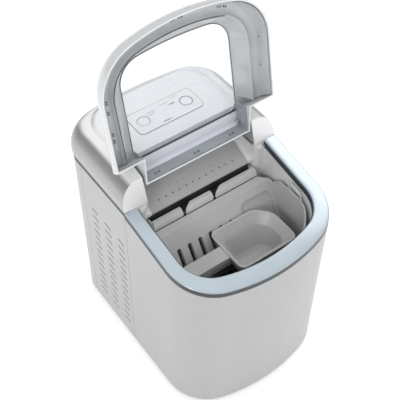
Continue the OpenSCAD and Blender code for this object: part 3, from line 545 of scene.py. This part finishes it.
piece(rim_section([("o", 0.1, -1.5), ("o", 0, -1.1), ("o", 0.2, -0.6), ("o", 0.75, -0.2), ("o", 1.5, 0.02),
                   ("m", 0.3, 0.06), ("m", 0.5, 0.08), ("m", 0.7, 0.06), ("i", 1.5, 0.02), ("i", 0.75, -0.2),
                   ("i", 0.2, -0.6), ("i", 0, -1.1), ("i", 0, -RING_T), ("i", 1.5, -RING_T),
                   ("o", 1.5, -RING_T), ("o", 1.5, -1.5)]),
      "rim_ring", MATS["rim_chrome"], "housing", ["trim_ring"], angle=50)
band_low = -RING_T - BAND_T
band = as_object(rim_section([("o", 0.35, band_low), ("o", 0, band_low + 0.5), ("o", 0, -1.75),
                              ("o", 1.4, -1.55), ("o", 1.4, -RING_T - 0.1), ("i", 0.35, -RING_T - 0.1),
                              ("i", 0, -RING_T - 0.6), ("i", 0, band_low)]))
piece(band, "rim_band", MATS["dark_band"], "housing", ["trim_band"], angle=50)
inner_wall = plan(WELL_HW - 0.35, WELL_FRONT - 0.35, RING_Y - 2.7, WELL_R - 0.35, BOW - 18.35)
inner_back = plan(WELL_HW + 1.2, WELL_FRONT + 1.2, RING_Y - 2.7, WELL_R + 1.2, BOW - 16.8)
piece(strip(inner_wall, inner_back, lambda y: rim_at(y) - 9.6, lambda y: rim_at(y) - RING_T + 0.05),
      "rim_inner_seal", MATS["dark_band"], "housing", bevel=0.25)
closers = [box_mesh(*sorted((sx * (ARM_IN + 0.2), sx * 104)), RING_Y + 0.15, RING_Y + 3,
                    RIM_Z - 14, RIM_Z - 0.2) for sx in (-1, 1)]
piece(merged(*closers), "arm_closers", MATS["liner_grey"], "housing", bevel=0.4)
whole_out = back_plan(HALF_W - 0.5, REAR - 0.5, RING_Y, REAR_R - 0.5, REAR_BOW - 0.5)
whole_in = back_plan(HALF_W - 8, REAR - 8, RING_Y, REAR_R - 8, REAR_BOW - 8)
piece(strip(whole_out, whole_in, RIM_Z - BAND_T, RIM_Z - 0.1), "cover_band", MATS["dark_band"], "housing",
      bevel=0.3)

# ---------------------------------------------------------------- rear cover
LEVELS = 14
PANEL_X, PANEL_Y, PANEL_W, PANEL_D = 1.0, 92.5, 92.0, 37.0


def cover_ring(z, side, rear, t):
    return [(x, y, z) for x, y in back_plan(HALF_W - 0.5 - side, REAR + COVER_OVER - rear,
                                            RING_Y + 0.1 + t + (z - RIM_Z) * math.tan(COVER_LEAN),
                                            REAR_R, REAR_BOW)]


def cover_dome(t):
    rings = [cover_ring(RIM_Z - (0.1 if t else 0), t, t, t)]
    for k in range(LEVELS + 1):
        a = k * math.pi / 2 / LEVELS
        z = RIM_Z + EDGE_Z + (COVER_H - EDGE_Z - t) * math.sin(a)
        turn = 1 - math.cos(a)
        rings.append(cover_ring(z, t + (EDGE_W - t) * turn, t + (BACK_EDGE_W - t) * turn, t))
    last = [(x, y) for x, y, _ in rings[-1]]
    crown = back_plan(66 - t, 144 - t, 62 + t, 17, 1200)
    for k in range(1, 9):
        s = k / 8
        rings.append([(x, y, COVER_TOP - t + 5.0 * math.sin(s * math.pi / 2))
                      for x, y in mix_path(last, crown, s)])
    return loft(rings)


cover = as_object(cover_dome(0))
hollow = as_object(cover_dome(COVER_T))
cut(hollow, box_mesh(-ARM_IN - COVER_T, ARM_IN + COVER_T, -50, COVER_WALL_Y + COVER_T, 200, 400))
cut(cover, hollow, box_mesh(-ARM_IN, ARM_IN, -50, COVER_WALL_Y, 200, 400),
    box_mesh(PANEL_X - 40, PANEL_X + 40, PANEL_Y - 12, PANEL_Y + 12, COVER_TOP - 3, 400))
piece(cover, "cover_shell", MATS["cover_silver"], "housing", ["rear_cover"], bevel=0.7,
      segments=3, angle=40)

# ---------------------------------------------------------------- controls
BUTTON_R, BUTTON_X = 7.5, 31.0
PANEL_TOP = COVER_FLAT + 0.85


def panel_edge(grow):
    """The overlay's outline, moved outwards by grow."""
    half_w, half_d = PANEL_W / 2 + grow, PANEL_D / 2 + grow
    return round_rect(PANEL_X - half_w, PANEL_X + half_w, PANEL_Y - half_d, PANEL_Y + half_d, 6 + grow)


plate = as_object(prism(panel_edge(0), COVER_FLAT + 0.05, PANEL_TOP))
cut(plate, *[rod((x, PANEL_Y, 300), (x, PANEL_Y, 330), BUTTON_R + 0.35, 48)
             for x in (PANEL_X - BUTTON_X, PANEL_X + BUTTON_X)])
piece(plate, "panel_plate", MATS["panel_white"], "housing", ["control_panel"], bevel=0.25)
# the dark outline round the overlay is painted shade in its groove
piece(loft([[(ox, oy, COVER_FLAT), (ox, oy, COVER_FLAT + 0.5), (ix, iy, COVER_FLAT + 0.5),
             (ix, iy, COVER_FLAT)]
            for (ox, oy), (ix, iy) in zip(panel_edge(0.75), panel_edge(0))], wrap=True),
      "panel_outline", DARK_LINE_AND_GROOVE_SHADE, "housing")
for sx, name, body, ring_mat in ((1, "power", "power_key", DARK_LINE_AND_GROOVE_SHADE), (-1, "select", "select_key", FAINT)):
    cx = PANEL_X + sx * BUTTON_X
    profile = [(0, 1.5), (3, 1.47), (5.5, 1.3), (6.8, 1.0), (7.35, 0.6), (7.5, 0.1), (7.5, -2.0)]
    piece(loft([circle(cx, PANEL_Y, COVER_FLAT + h, max(r, 0.01), 48) for r, h in profile]), f"{name}_cap",
          MATS["panel_white"], body, [f"{name}_button"], angle=50)
    ring = circle(cx, PANEL_Y, COVER_FLAT + 0.9, BUTTON_R + 0.75, 64)
    piece(sweep(ring, [(-0.38, -0.12), (0.38, -0.12), (0.38, 0.12), (-0.38, 0.12)], closed=True),
          f"{name}_ring", ring_mat, "housing")


def bars(spots, half, r, thick):
    """Plain printed bars on the panel, given as (x, y, width)."""
    return merged(*[prism(round_rect(x - w / 2, x + w / 2, y - half, y + half, r, 3), PANEL_TOP,
                          PANEL_TOP + thick) for x, y, w in spots])


piece(bars(((-5, 77.8, 11), (15, 98.5, 9)), 0.8, 0.7, 0.15), "panel_marks", DARK_LINE_AND_GROOVE_SHADE, "housing")
piece(bars(((-14, 101, 14), (-16, 97, 10), (6, 104, 12), (22, 107, 8)), 0.6, 0.5, 0.1), "panel_faint_marks",
      FAINT, "housing")

# ---------------------------------------------------------------- tub and ice chamber
# the sloping perforated cover over the cooling coil
COIL_Y0, COIL_Z0, COIL_SLOPE, COIL_Y1, COIL_HW = 16.0, 245.4, math.radians(26), 51.0, 71.8
well_out = plan(WELL_HW + TUB_T, WELL_FRONT + TUB_T, RING_Y - 0.6, WELL_R + TUB_T, BOW - 16)
well_in = plan(WELL_HW, WELL_FRONT, RING_Y - 0.6 - TUB_T, WELL_R, BOW - 18)
tub = as_object(prism(well_out, TUB_FLOOR, wall_top))
join(tub, box_mesh(-CHAMBER_HW - TUB_T, CHAMBER_HW + TUB_T, 0, CHAMBER_Y + TUB_T, CHAMBER_FLOOR,
                   RIM_Z - BAND_T - 1))
cut(tub, prism(well_in, TUB_FLOOR + TUB_T, 400),
    box_mesh(-CHAMBER_HW, CHAMBER_HW, -5, CHAMBER_Y, CHAMBER_FLOOR + TUB_T, 400))
# rounded edge where the chamber opens into the well
EDGE_R = 8.0
for sx in (-1, 1):
    x0, y0 = sx * CHAMBER_HW, RING_Y - 0.6 - TUB_T
    turn = [(1 - math.cos(math.radians(a)), 1 - math.sin(math.radians(a))) for a in range(10, 91, 10)]
    corner = [(x0, y0), (x0, y0 + EDGE_R)] + [(x0 + sx * EDGE_R * a, y0 + EDGE_R * b) for a, b in turn]
    block = box_mesh(*sorted((sx * (CHAMBER_HW + 0.5), sx * (CHAMBER_HW + EDGE_R + 3))), y0 + 1,
                     y0 + EDGE_R + 3, CHAMBER_FLOOR + 0.5, RIM_Z - BAND_T - 1.5)
    join(tub, block)
    fat = [(x - sx * 0.6 if abs(x - x0) < 0.01 else x, y - 0.6 if abs(y - y0) < 0.01 else y)
           for x, y in corner]
    cut(tub, prism(fat, CHAMBER_FLOOR + TUB_T, 400))
rise = math.tan(COIL_SLOPE) * (COIL_Y1 - COIL_Y0)
cheek = [(COIL_Y0, COIL_Z0 - 3), (COIL_Y1, COIL_Z0 - 3 + rise), (COIL_Y1, COIL_Z0 + 1.5 + rise),
         (COIL_Y0, COIL_Z0 + 1.5)]
join(tub, prism_x(cheek, COIL_HW + 0.4, CHAMBER_HW + 0.5), prism_x(cheek, -CHAMBER_HW - 0.5, -COIL_HW - 0.4))
piece(tub, "tub_shell", MATS["liner_grey"], "housing", ["inner_tub"], bevel=0.9, segments=3)
# painted shade at the bottom of the tub
paint_hollow_shade(tub, lambda x, y, z, n: z < 90)
# a near-black strip behind the pusher, under the perforated panel's front edge: painted shade
piece(box_mesh(-73.2, 73.2, 16.2, 17.4, 231.6, COIL_Z0 - 0.6), "shade_strip_under_panel", HOLLOW_SHADE, "housing",
      bevel=0.3)

face = [(COIL_Y0, COIL_Z0 - 2), (COIL_Y1, COIL_Z0 - 2 + rise), (COIL_Y1, RIM_Z + 1), (COIL_Y1 - 2, RIM_Z + 1),
        (COIL_Y1 - 2, COIL_Z0 + rise - 1), (COIL_Y0, COIL_Z0)]
perforated = as_object(prism_x(face, -COIL_HW, COIL_HW))
normal = Vector((0, -math.sin(COIL_SLOPE), math.cos(COIL_SLOPE)))
dots = []
for row_y, start, count, pitch, r in ((26, -55, 12, 10, 0.95), (34, -34, 8, 10, 0.45)):
    for i in range(count):
        base = Vector((start + pitch * i, row_y, COIL_Z0 + (row_y - COIL_Y0) * math.tan(COIL_SLOPE)))
        dots.append(rod(base - normal * 5, base + normal * 5, r, 14))
cut(perforated, merged(*dots))
piece(perforated, "panel_perforated", PERFORATED, "housing", ["evaporator_cover"], bevel=0.5)

# ---------------------------------------------------------------- pusher
RAKE_HW, RAKE_LOW, RAKE_TOP = 77.3, 229.0, 238.0
blocks = []
for x0, x1, lead in ((-RAKE_HW, -35.5, 4), (-31, 9.5, 23), (13.5, RAKE_HW, 25)):
    block = as_object(prism_x([(3, RAKE_LOW), (15, RAKE_LOW), (15, RAKE_LOW + 4.5), (11.5, RAKE_TOP),
                               (6.5, RAKE_TOP), (3, RAKE_LOW + 4.5)], x0, x1))
    keep(block, prism([(x0, 0), (x1, 0), (x1, 20), (x0 + lead, 20), (x0, 4.5)], 200, 260))
    blocks.append(block)
rake = blocks[0]
join(rake, *blocks[1:], box_mesh(-RAKE_HW, RAKE_HW, 6, 15, RAKE_LOW, RAKE_LOW + 1.6),
     box_mesh(-RAKE_HW, -RAKE_HW + 2.6, 10, 44, RAKE_LOW, RAKE_LOW + 6),
     box_mesh(RAKE_HW - 2.6, RAKE_HW, 10, 44, RAKE_LOW, RAKE_LOW + 6))
piece(rake, "rake_blocks", PUSHER, "pusher", ["ice_pusher"], bevel=0.45, segments=3)
# painted shade in the gaps between the blocks
paint_hollow_shade(rake, lambda x, y, z, n: 6.5 < y < 20 and abs(x) < 74 and (z < 231 or abs(n.x) > 0.5))

# ---------------------------------------------------------------- basket
BASKET_HW, BASKET_FRONT, BASKET_FLOOR, BASKET_RIM = 88.0, 111.0, 163.0, 228.3
SLOPE_Y, TAB_Y0, TAB_Y1, TAB_TOP = -52.0, -44.0, -69.0, 255.0


def basket_plan(i):
    path = plan(BASKET_HW - i, BASKET_FRONT - i, -9 - i / 2, WELL_R - 4 - i, BOW - 24 - i)
    return path + [(77 - i, -i - 2 + 4.2), (-77 + i, -i - 2 + 4.2)]


SIDE_RIM, WALL_DEEP = 236.0, 6.5
rear_end = [(5, 0), (5, BASKET_RIM), (-16, BASKET_RIM)]
front_end = [(-92, 230), (-100, 226), (-BASKET_FRONT - 2, 226), (-BASKET_FRONT - 2, 0)]
rim_cut = rear_end + [(-22, 234), (-30, 241), (TAB_Y0 - 1, 242), (TAB_Y0 - 2, 246),
                      (TAB_Y0 - 4, TAB_TOP - 0.6), (TAB_Y0 - 6, TAB_TOP), (TAB_Y1 + 6, TAB_TOP - 2),
                      (TAB_Y1 + 2, TAB_TOP - 4), (TAB_Y1 - 1, 244), (TAB_Y1 - 3, 241), (-80, 240)] + front_end
low_cut = rear_end + [(-26, SIDE_RIM), (-84, SIDE_RIM)] + front_end
basket = as_object(prism(basket_plan(0), BASKET_FLOOR, 300))
allowed = as_object(prism_x(rim_cut, -0.02, 200))
join(allowed, prism_x(low_cut, -200, 0))
keep(basket, allowed,
     prism_x([(5, 400), (5, BASKET_RIM - 2.2), (-10 + WALL_DEEP, BASKET_RIM - 2.2),
              (SLOPE_Y + WALL_DEEP, BASKET_FLOOR), (-200, BASKET_FLOOR), (-200, 400)], -200, 200))
inside = as_object(prism(basket_plan(2), BASKET_FLOOR - 1, 301))
keep(inside, prism_x([(2.2 - 12, 400), (2.2 - 12, BASKET_RIM), (SLOPE_Y, BASKET_FLOOR + 2),
                      (-200, BASKET_FLOOR + 2), (-200, 400)], -200, 200))
cut(basket, inside)
wall_lean = math.atan2(-SLOPE_Y - 10, BASKET_RIM - BASKET_FLOOR - 2)
along = Vector((0, math.sin(wall_lean), math.cos(wall_lean)))
out = Vector((0, math.cos(wall_lean), -math.sin(wall_lean)))
middle = Vector((0, SLOPE_Y / 2 - 5.7, (BASKET_RIM + BASKET_FLOOR) / 2 - 2.1))
cutters = []
for i in range(6):
    c = middle + Vector((-61 + 15.6 * i, 0, 0))
    ring = [c + Vector((a, 0, 0)) + along * b for a, b in
            arc(0, 15.5, 2.8, 0, 180, 10) + arc(0, -15.5, 2.8, 180, 360, 10)]
    cutters.append(loft([[tuple(p - out * 10) for p in ring], [tuple(p + out * 10) for p in ring]]))
for x in range(-60, 61, 10):
    cutters.append(prism(round_rect(x - 3.2, x + 3.2, -100, -58, 3.1, 6), BASKET_FLOOR - 1, BASKET_FLOOR + 3))
cutters.append(prism_x(slot_outline(-57.5, 247, 21, 7.0, 0, 8), 84, 92))
cut(basket, merged(*cutters))
# the shallow recess beside the scoop, with its round corners
centre = Vector((0, SLOPE_Y / 2 - 5, (BASKET_RIM + BASKET_FLOOR) / 2 + 1))
recess = round_rect(36, 82, -27, 27, 8, 8)
cut(basket, loft([[tuple(centre + Vector((a, 0, 0)) + along * b - out * 10) for a, b in recess],
                  [tuple(centre + Vector((a, 0, 0)) + along * b + out * 3.4) for a, b in recess]]))
guard = [(86.2, y, z) for y, z in slot_outline(-57.5, 247, 23, 9.0, 0, 8)]
join(basket, sweep(guard, circle_profile(0.9, 8), up=(1, 0, 0), closed=True))
piece(basket, "basket_body", MATS["basket_grey"], "basket", ["ice_basket"], bevel=0.7,
      segments=3)
# painted shade on the basket floor
paint_hollow_shade(basket, lambda x, y, z, n: z < BASKET_FLOOR + 2.2)

# ---------------------------------------------------------------- scoop
SCOOP_RIM, SCOOP_FLOOR, SCOOP_T = 212.0, 165.4, 1.8


def scoop_outline(i, back_in, r):
    corners = [(66 - i, -92 + i), (66 - i, -46 - back_in * 0.7), (48 - i * 0.5, -27 - back_in),
               (-18 + i, -27 - back_in), (-18 + i, -92 + i)]
    pts = []
    n = len(corners)
    for k in range(n):
        p, a, b = (Vector(corners[(k + j) % n]) for j in (0, -1, 1))
        u, w = (a - p).normalized(), (b - p).normalized()
        reach = min(r, (a - p).length * 0.45, (b - p).length * 0.45)
        s, e = p + u * reach, p + w * reach
        for j in range(9):
            t = j / 8
            pts.append(tuple((1 - t) ** 2 * s + 2 * t * (1 - t) * p + t * t * e))
    return pts


def scoop_ring(z, i, back_in, r):
    return [(x, y, z) for x, y in scoop_outline(i, back_in, r)]


SHOULDER = 12.0


def bowl(t, top):
    rings = [scoop_ring(SCOOP_RIM + top, t, t, 9)] if top else []
    steps = ((0, 0, 0), (4, 2.4, 2.7), (8, 5.2, 5.9), (SHOULDER, 8.0, 9.0), (18, 9.0, 11.8), (24, 9.9, 14.4),
             (30, 10.9, 17.2), (35, 11.9, 19.6), (39, 13.1, 21.8))
    for depth, side, rear in steps:
        rings.append(scoop_ring(SCOOP_RIM - depth, t + side, t + rear, 9 + depth * 0.12))
    floor_z = SCOOP_FLOOR + t
    for side, rear, z in ((14.4, 23.4, 4.4), (16.2, 25.2, 2.8), (18.6, 27.4, 1.5), (21.6, 30.2, 0.6),
                          (25, 33.4, 0.15), (29, 37, 0)):
        rings.append(scoop_ring(floor_z + z, t + side, t + rear, 13))
    return loft(rings)


scoop = as_object(bowl(0, 0))
lip = [(x, y, SCOOP_RIM - 0.9) for x, y in scoop_outline(0.5, 0.5, 9)]
join(scoop, sweep(lip, circle_profile(1.7, 12), closed=True))


def handle_solid(width, z0, z1, x0, x1, r):
    return prism(round_rect(x0, x1, -59 - width, -59 + width, r), z0, z1)


join(scoop, handle_solid(10, SCOOP_RIM - 9, SCOOP_RIM - 1.2, -81, -8, 4))
cut(scoop, bowl(SCOOP_T, 3))
cut(scoop, handle_solid(8.2, SCOOP_RIM - 12, SCOOP_RIM - 3, -79.2, -19.5, 3))
piece(scoop, "scoop_body", MATS["scoop_grey"], "scoop", ["ice_scoop"], bevel=0.35, angle=17)


# ---------------------------------------------------------------- lid
def lid_open(p):
    """From the level lid to its open place."""
    x, y, z = p
    y, z = (y * math.cos(SLOPE) - z * math.sin(SLOPE) + TIP_Y - HINGE_Y,
            y * math.sin(SLOPE) + z * math.cos(SLOPE) + TIP_Z - HINGE_Z)
    c, s = math.cos(-LID_OPEN), math.sin(-LID_OPEN)
    return x, y * c - z * s + HINGE_Y, y * s + z * c + HINGE_Z


def opened(geometry):
    verts, faces = geometry
    return [lid_open(p) for p in verts], faces


def lid_ring(z, i, t):
    return [(x, y, z) for x, y in plan(LID_HW - i, LID_LEN - i, z * math.tan(LID_LEAN) - t,
                                       FRONT_R - 0.5 - i * 0.8, BOW - i)]


def lid_dome(t, h):
    rings = [lid_ring(-0.5 if t else 0, t, t)]
    for k in range(LEVELS + 1):
        a = k * math.pi / 2 / LEVELS
        rings.append(lid_ring(EDGE_Z + (h - EDGE_Z) * math.sin(a), t + (EDGE_W - t) * (1 - math.cos(a)), t))
    return loft(rings)


def tongue(t):
    top = LID_H - t
    low = -1 if t else 0
    outline = [(-20, low), (-0.5, low), (TONGUE_LEN - t, TONGUE_V + (-2 if t else 0)),
               (TONGUE_LEN - t, top - 8), (TONGUE_LEN - t - 0.9, top - 5), (TONGUE_LEN - t - 3, top - 2.4),
               (TONGUE_LEN - t - 6, top - 0.8), (TONGUE_LEN - t - 10, top), (-20, top)]
    return prism_x(outline, -TONGUE_HW + t, TONGUE_HW - t)


def window_path(grow):
    """From the left end of the window round its front to the right end, then along its rear edge."""
    hw = WINDOW_HW + grow
    front = plan(hw, 112.5 + grow, -4, 30 + grow, 420)
    rear = arc(hw - 12 - grow, 4, 12 + grow, 0, 90, 8) + arc(-hw + 12 + grow, 4, 12 + grow, 90, 180, 8)
    return front + rear


lid = as_object(opened(lid_dome(0, LID_H)))
join(lid, opened(tongue(0)))
cut(lid, opened(lid_dome(LID_T, LID_H - LID_T)), opened(tongue(LID_T)),
    opened(prism(window_path(0), LID_H - 6, LID_H + 20)))
piece(lid, "lid_shell", MATS["lid_silver"], "lid", ["lid_frame"], bevel=0.5, angle=40)

# the rounded edge along the whole rim of the lid, coloured whiter than the lid as a painted highlight
EDGE_IN, EDGE_V, STEPS = 1.1, 0.75, 10
edge_hw = TONGUE_HW - EDGE_IN
edge = [(x, y, EDGE_V) for x, y in plan(LID_HW - EDGE_IN, LID_LEN - EDGE_IN, -0.6, FRONT_R - 1.4, BOW - 1)]
down = [(edge_hw, -0.6 + (TONGUE_LEN - 0.5) * k / STEPS, EDGE_V + TONGUE_V * 0.9 * k / STEPS)
        for k in range(STEPS + 1)]
across = [(edge_hw - 2 * edge_hw * k / 8, TONGUE_LEN - EDGE_IN, TONGUE_V) for k in range(1, 9)]
up_again = [(-x, y, z) for x, y, z in reversed(down[:-1])]


def mitred(points, r):
    """A round bead along a closed path whose straight runs meet at mitred corners."""
    rings = []
    pts = [Vector(p) for p in points]
    for i, p in enumerate(pts):
        t1, t2 = (p - pts[i - 1]).normalized(), (pts[(i + 1) % len(pts)] - p).normalized()
        t = (t1 + t2).normalized()
        side = t.cross(Vector((0, 0, 1))).normalized()
        stretch = 1 / max(0.5, math.sqrt(max(0.0, (1 + t1.dot(t2)) / 2)))
        top = side.cross(t)
        rings.append([tuple(p + side * (s * stretch) + top * h) for s, h in circle_profile(r, 10)])
    return loft(rings, wrap=True)


piece(opened(mitred(edge + down + across + up_again, 0.95)), "lid_edge_bead", BEAD_HIGHLIGHT, "lid",
      angle=60)

# translucent moulding: outer wall, channel, ridge and the funnel to the window,
# as (half width, front, corner radius, height)
liner_profile = [(107.2, 148.9, 57.6, 1.6), (105.6, 147.3, 56.4, 8), (103.4, 145.1, 55, 14.5),
                 (101.6, 143.3, 54, 17.6), (99.4, 141.0, 52.5, 19.2), (96, 137.0, 51, 19.8),
                 (94, 133.6, 50.2, 19.4), (92.6, 131.8, 49.8, 18.2), (91.4, 130.4, 49.4, 15.6),
                 (90.8, 129.7, 49.1, 14.3), (90.0, 128.9, 48.8, 13.9), (89.2, 128.1, 48.4, 14.5)]
REAR_END = -2.2
ENDS = 16
front_count = len(plan(100, 130, 0, 50, BOW)) + 2 * ENDS - 2


def fine_ends(path):
    """Splits the two straight sides of an outline."""
    first = [mix(path[0], path[1], k / ENDS) for k in range(ENDS)]
    last = [mix(path[-2], path[-1], k / ENDS) for k in range(1, ENDS + 1)]
    return first + path[1:-1] + last


paths = []
for hw, front, r, v in liner_profile:
    rear = REAR_END + max(0.0, v - 3) * math.tan(LID_LEAN)
    paths.append([(x, y, v) for x, y in fine_ends(plan(hw, front, rear, r, BOW - 10))])
foot_path = [(x, y) for x, y, _ in paths[-1]]
win = fine_ends(window_path(0.4)[:front_count - 2 * ENDS + 2])
for s, v in ((0.08, 16.2), (0.2, 18.4), (0.38, 21.0), (0.56, 23.2), (0.74, 25.2), (0.9, 27.0), (0.97, 27.9),
             (1.0, 28.2)):
    deep = 0.55 * math.sin(math.pi * s)
    paths.append([(x, y, v + deep * math.sin(k * 0.9) * (k > front_count * 0.62)) for k, (x, y) in
                  enumerate(mix_path(foot_path, win, s))])
rings = []
for i in range(front_count):
    lower = [p[i] for p in paths]
    upper = [(x * 0.995, y * 0.995, v + 1.0) for x, y, v in reversed(lower[1:-1])]
    rings.append(lower + upper)
piece(opened(loft(rings)), "lid_moulding", MATS["smoke_clear"], "lid", ["lid_liner"], angle=60)

LEDGE_HW = 72.6
ledge = as_object(opened(prism_x([(16.5, 27.9), (30, 27.9), (33.2, 26.4), (34.7, 23.0), (33.7, 23.0),
                                  (32.2, 25.4), (29.4, 26.9), (16.5, 26.9)], -LEDGE_HW, LEDGE_HW)))
piece(ledge, "lid_ledge", LEDGE, "lid", bevel=0.4)
wall = as_object(opened(prism_x([(34.9, 22.8), (34.9, 6.4), (33.7, 6.2), (33.7, 22.8)], -LEDGE_HW, LEDGE_HW)))
join(wall, opened(box_mesh(-72.8, -71.8, 2, 34.6, 7, 26.8)), opened(box_mesh(71.8, 72.8, 2, 34.6, 7, 26.8)))
# the tongue's inner face in the shaded copy of the smoke moulding
piece(wall, "lid_tongue_lining", TONGUE_SHADED, "lid", bevel=0.3)

# catches moulded along the channel and the tongue
clips, frames = [], []
outer_wall = plan(97.6, 138.8, -2, 51.6, BOW - 12)


CLIP_HALF, CLIP_H, CLIP_D = 0.65, 1.4, 2.0


def clip_at(x, y, nx, ny, v):
    """A small tab on the channel's wall, which faces (nx, ny)."""
    tx, ty = -ny, nx
    corners = ((-CLIP_HALF, 0), (CLIP_HALF, 0), (CLIP_HALF, CLIP_D), (-CLIP_HALF, CLIP_D))
    return prism([(x + tx * a + nx * b, y + ty * a + ny * b) for a, b in corners], v, v + CLIP_H)


def along_wall(distance):
    """Point and inward normal a distance round the outer wall from its left rear end."""
    left = distance
    for a, b in zip(outer_wall, outer_wall[1:]):
        step = math.dist(a, b)
        if left <= step:
            x, y = mix(a, b, left / step)
            tx, ty = (b[0] - a[0]) / step, (b[1] - a[1]) / step
            return x, y, -ty, tx
        left -= step
    return None


for group in (24, 33, 61, 74, 144, 156, 202, 213, 264, 272):
    for offset, v in ((0, 18.4), (3, 18.0)):
        spot = along_wall(group + offset)
        if spot:
            clips.append(clip_at(*spot, v))
for x in (-58, -53, -2, 3, 50, 55):
    clips.append(box_mesh(x - 1.3, x + 1.3, 32.4, 34.0, 11, 13.4))
WALL_X, WALL_V, WALL_LEAN = 105.9, 7, 0.31
for y in (-78, -41):
    for half, v, h, deep, kind in ((5.5, 7.6, 7.6, 0.9, frames), (3.6, 9.4, 4.2, 1.5, frames),
                                   (0.9, 10.6, 1.8, 2.0, clips)):
        corners = ((0, v), (deep, v), (deep, v + h), (0, v + h))
        kind.append(loft([[(WALL_X - d - WALL_LEAN * (z - WALL_V), y + c, z) for d, z in corners]
                          for c in (-half, half)]))
piece(opened(merged(*frames)), "lid_catch_frames", MATS["smoke_clear"], "lid", bevel=0.3)
piece(opened(merged(*clips)), "lid_catches", CATCH, "lid", bevel=0.15)

piece(opened(prism(window_path(-0.15), LID_H - LID_T, LID_H)), "lid_pane", MATS["window_clear"], "lid",
      ["lid_window"], bevel=0.25)
seal = [(x, y, 28.0) for x, y in window_path(0.0)]
piece(opened(sweep(seal, circle_profile(0.42, 8), closed=True)), "lid_window_seal", DARK_LINE_AND_GROOVE_SHADE, "lid",
      angle=60)
# the dark line along the ridge and the dark strip at the ledge are painted shade in their grooves
ridge = [(x, y, v - 0.1) for x, y, v in paths[len(liner_profile) - 2][:int(front_count * 0.66)]]
piece(opened(sweep(ridge, circle_profile(0.6, 8))), "lid_ridge_groove", DARK_LINE_AND_GROOVE_SHADE, "lid", angle=60)
piece(opened(prism_x([(14.2, 28.2), (16.3, 28.2), (16.3, 26.6), (14.2, 26.6)], -72.4, 72.4)),
      "lid_ledge_groove", DARK_LINE_AND_GROOVE_SHADE, "lid", bevel=0.3)

# ---------------------------------------------------------------- floor, light and camera
FLOOR_HALF = 30.0
floor_me = bpy.data.meshes.new("floor")
floor_me.from_pydata([(x * FLOOR_HALF, y * FLOOR_HALF, 0) for x, y in ((-1, -1), (1, -1), (1, 1), (-1, 1))],
                     [], [(0, 1, 2, 3)])
floor = bpy.data.objects.new("floor", floor_me)
bpy.context.scene.collection.objects.link(floor)
floor_me.materials.append(material("floor_pale", (0.93, 0.93, 0.93), 0.7, vary=0.004, grain=60, bump=0.0,
                                   spec=0.2))
glow = floor_me.materials[0].node_tree.nodes["Principled BSDF"]
glow.inputs["Emission Color"].default_value = (1, 1, 1, 1)
glow.inputs["Emission Strength"].default_value = 0.42

scene = bpy.context.scene
scene.view_settings.view_transform = "Standard"
world = bpy.data.worlds.new("studio")
scene.world = world
world.use_nodes = True
wt = world.node_tree
light_from = wt.nodes["Background"]
light_from.inputs["Strength"].default_value = 0.76
split = wt.nodes.new("ShaderNodeSeparateXYZ")
fade = wt.nodes.new("ShaderNodeValToRGB")
fade.color_ramp.elements[0].color = (0.50, 0.50, 0.505, 1)
fade.color_ramp.elements[1].color = (1.1, 1.1, 1.1, 1)
for at, value in ((0.14, 0.40), (0.34, 0.75), (0.6, 1.1)):
    fade.color_ramp.elements.new(at).color = (value, value, value * 1.01, 1)
wt.links.new(wt.nodes.new("ShaderNodeTexCoord").outputs["Generated"], split.inputs["Vector"])
wt.links.new(split.outputs["Z"], fade.inputs["Fac"])
wt.links.new(fade.outputs["Color"], light_from.inputs["Color"])
# seen directly, the far studio wall is as pale as the floor
far_wall = wt.nodes.new("ShaderNodeBackground")
far_wall.inputs["Color"].default_value = (1.0, 1.0, 1.0, 1)
far_wall.inputs["Strength"].default_value = 1.05
seen = wt.nodes.new("ShaderNodeMixShader")
wt.links.new(wt.nodes.new("ShaderNodeLightPath").outputs["Is Camera Ray"], seen.inputs["Fac"])
wt.links.new(light_from.outputs["Background"], seen.inputs[1])
wt.links.new(far_wall.outputs["Background"], seen.inputs[2])
wt.links.new(seen.outputs["Shader"], wt.nodes["World Output"].inputs["Surface"])


def area(name, place, target, size, power, tint=(1, 1, 1)):
    light = bpy.data.lights.new(name, "AREA")
    light.shape = "DISK"
    light.size = size
    light.energy = power
    light.color = tint
    ob = bpy.data.objects.new(name, light)
    scene.collection.objects.link(ob)
    ob.location = place
    ob.rotation_euler = (Vector(target) - Vector(place)).to_track_quat("-Z", "Y").to_euler()


area("key", (-1.8, -1.1, 1.35), (0, 0, 0.22), 0.8, 9)
area("fill", (1.3, -1.6, 1.2), (0, 0, 0.2), 1.2, 2, (0.96, 0.98, 1.0))
area("top", (0.1, 0.3, 2.2), (0, 0, 0.2), 1.4, 2)
area("rim", (0.86, 0.22, 1.32), (0.10, 0.0, 0.27), 0.5, 1.6)

camera = bpy.data.cameras.new("camera")
camera.lens = 76.383
camera.sensor_width = 36
camera.clip_end = 30
cam = bpy.data.objects.new("camera", camera)
scene.collection.objects.link(cam)
azimuth, elevation, roll, distance = (math.radians(-36.77), math.radians(49.49), math.radians(0.944), 1.0204)
aim = Vector((-0.01336, DATUM * MM, 0.24622))
spot = aim + distance * Vector((math.sin(azimuth) * math.cos(elevation),
                                -math.cos(azimuth) * math.cos(elevation), math.sin(elevation)))
forward = (aim - spot).normalized()
right = forward.cross(Vector((0, 0, 1))).normalized()
above = right.cross(forward)
right, above = (right * math.cos(roll) + above * math.sin(roll),
                above * math.cos(roll) - right * math.sin(roll))
cam.matrix_world = Matrix.Translation(spot) @ Matrix((right, above, -forward)).transposed().to_4x4()
scene.camera = cam
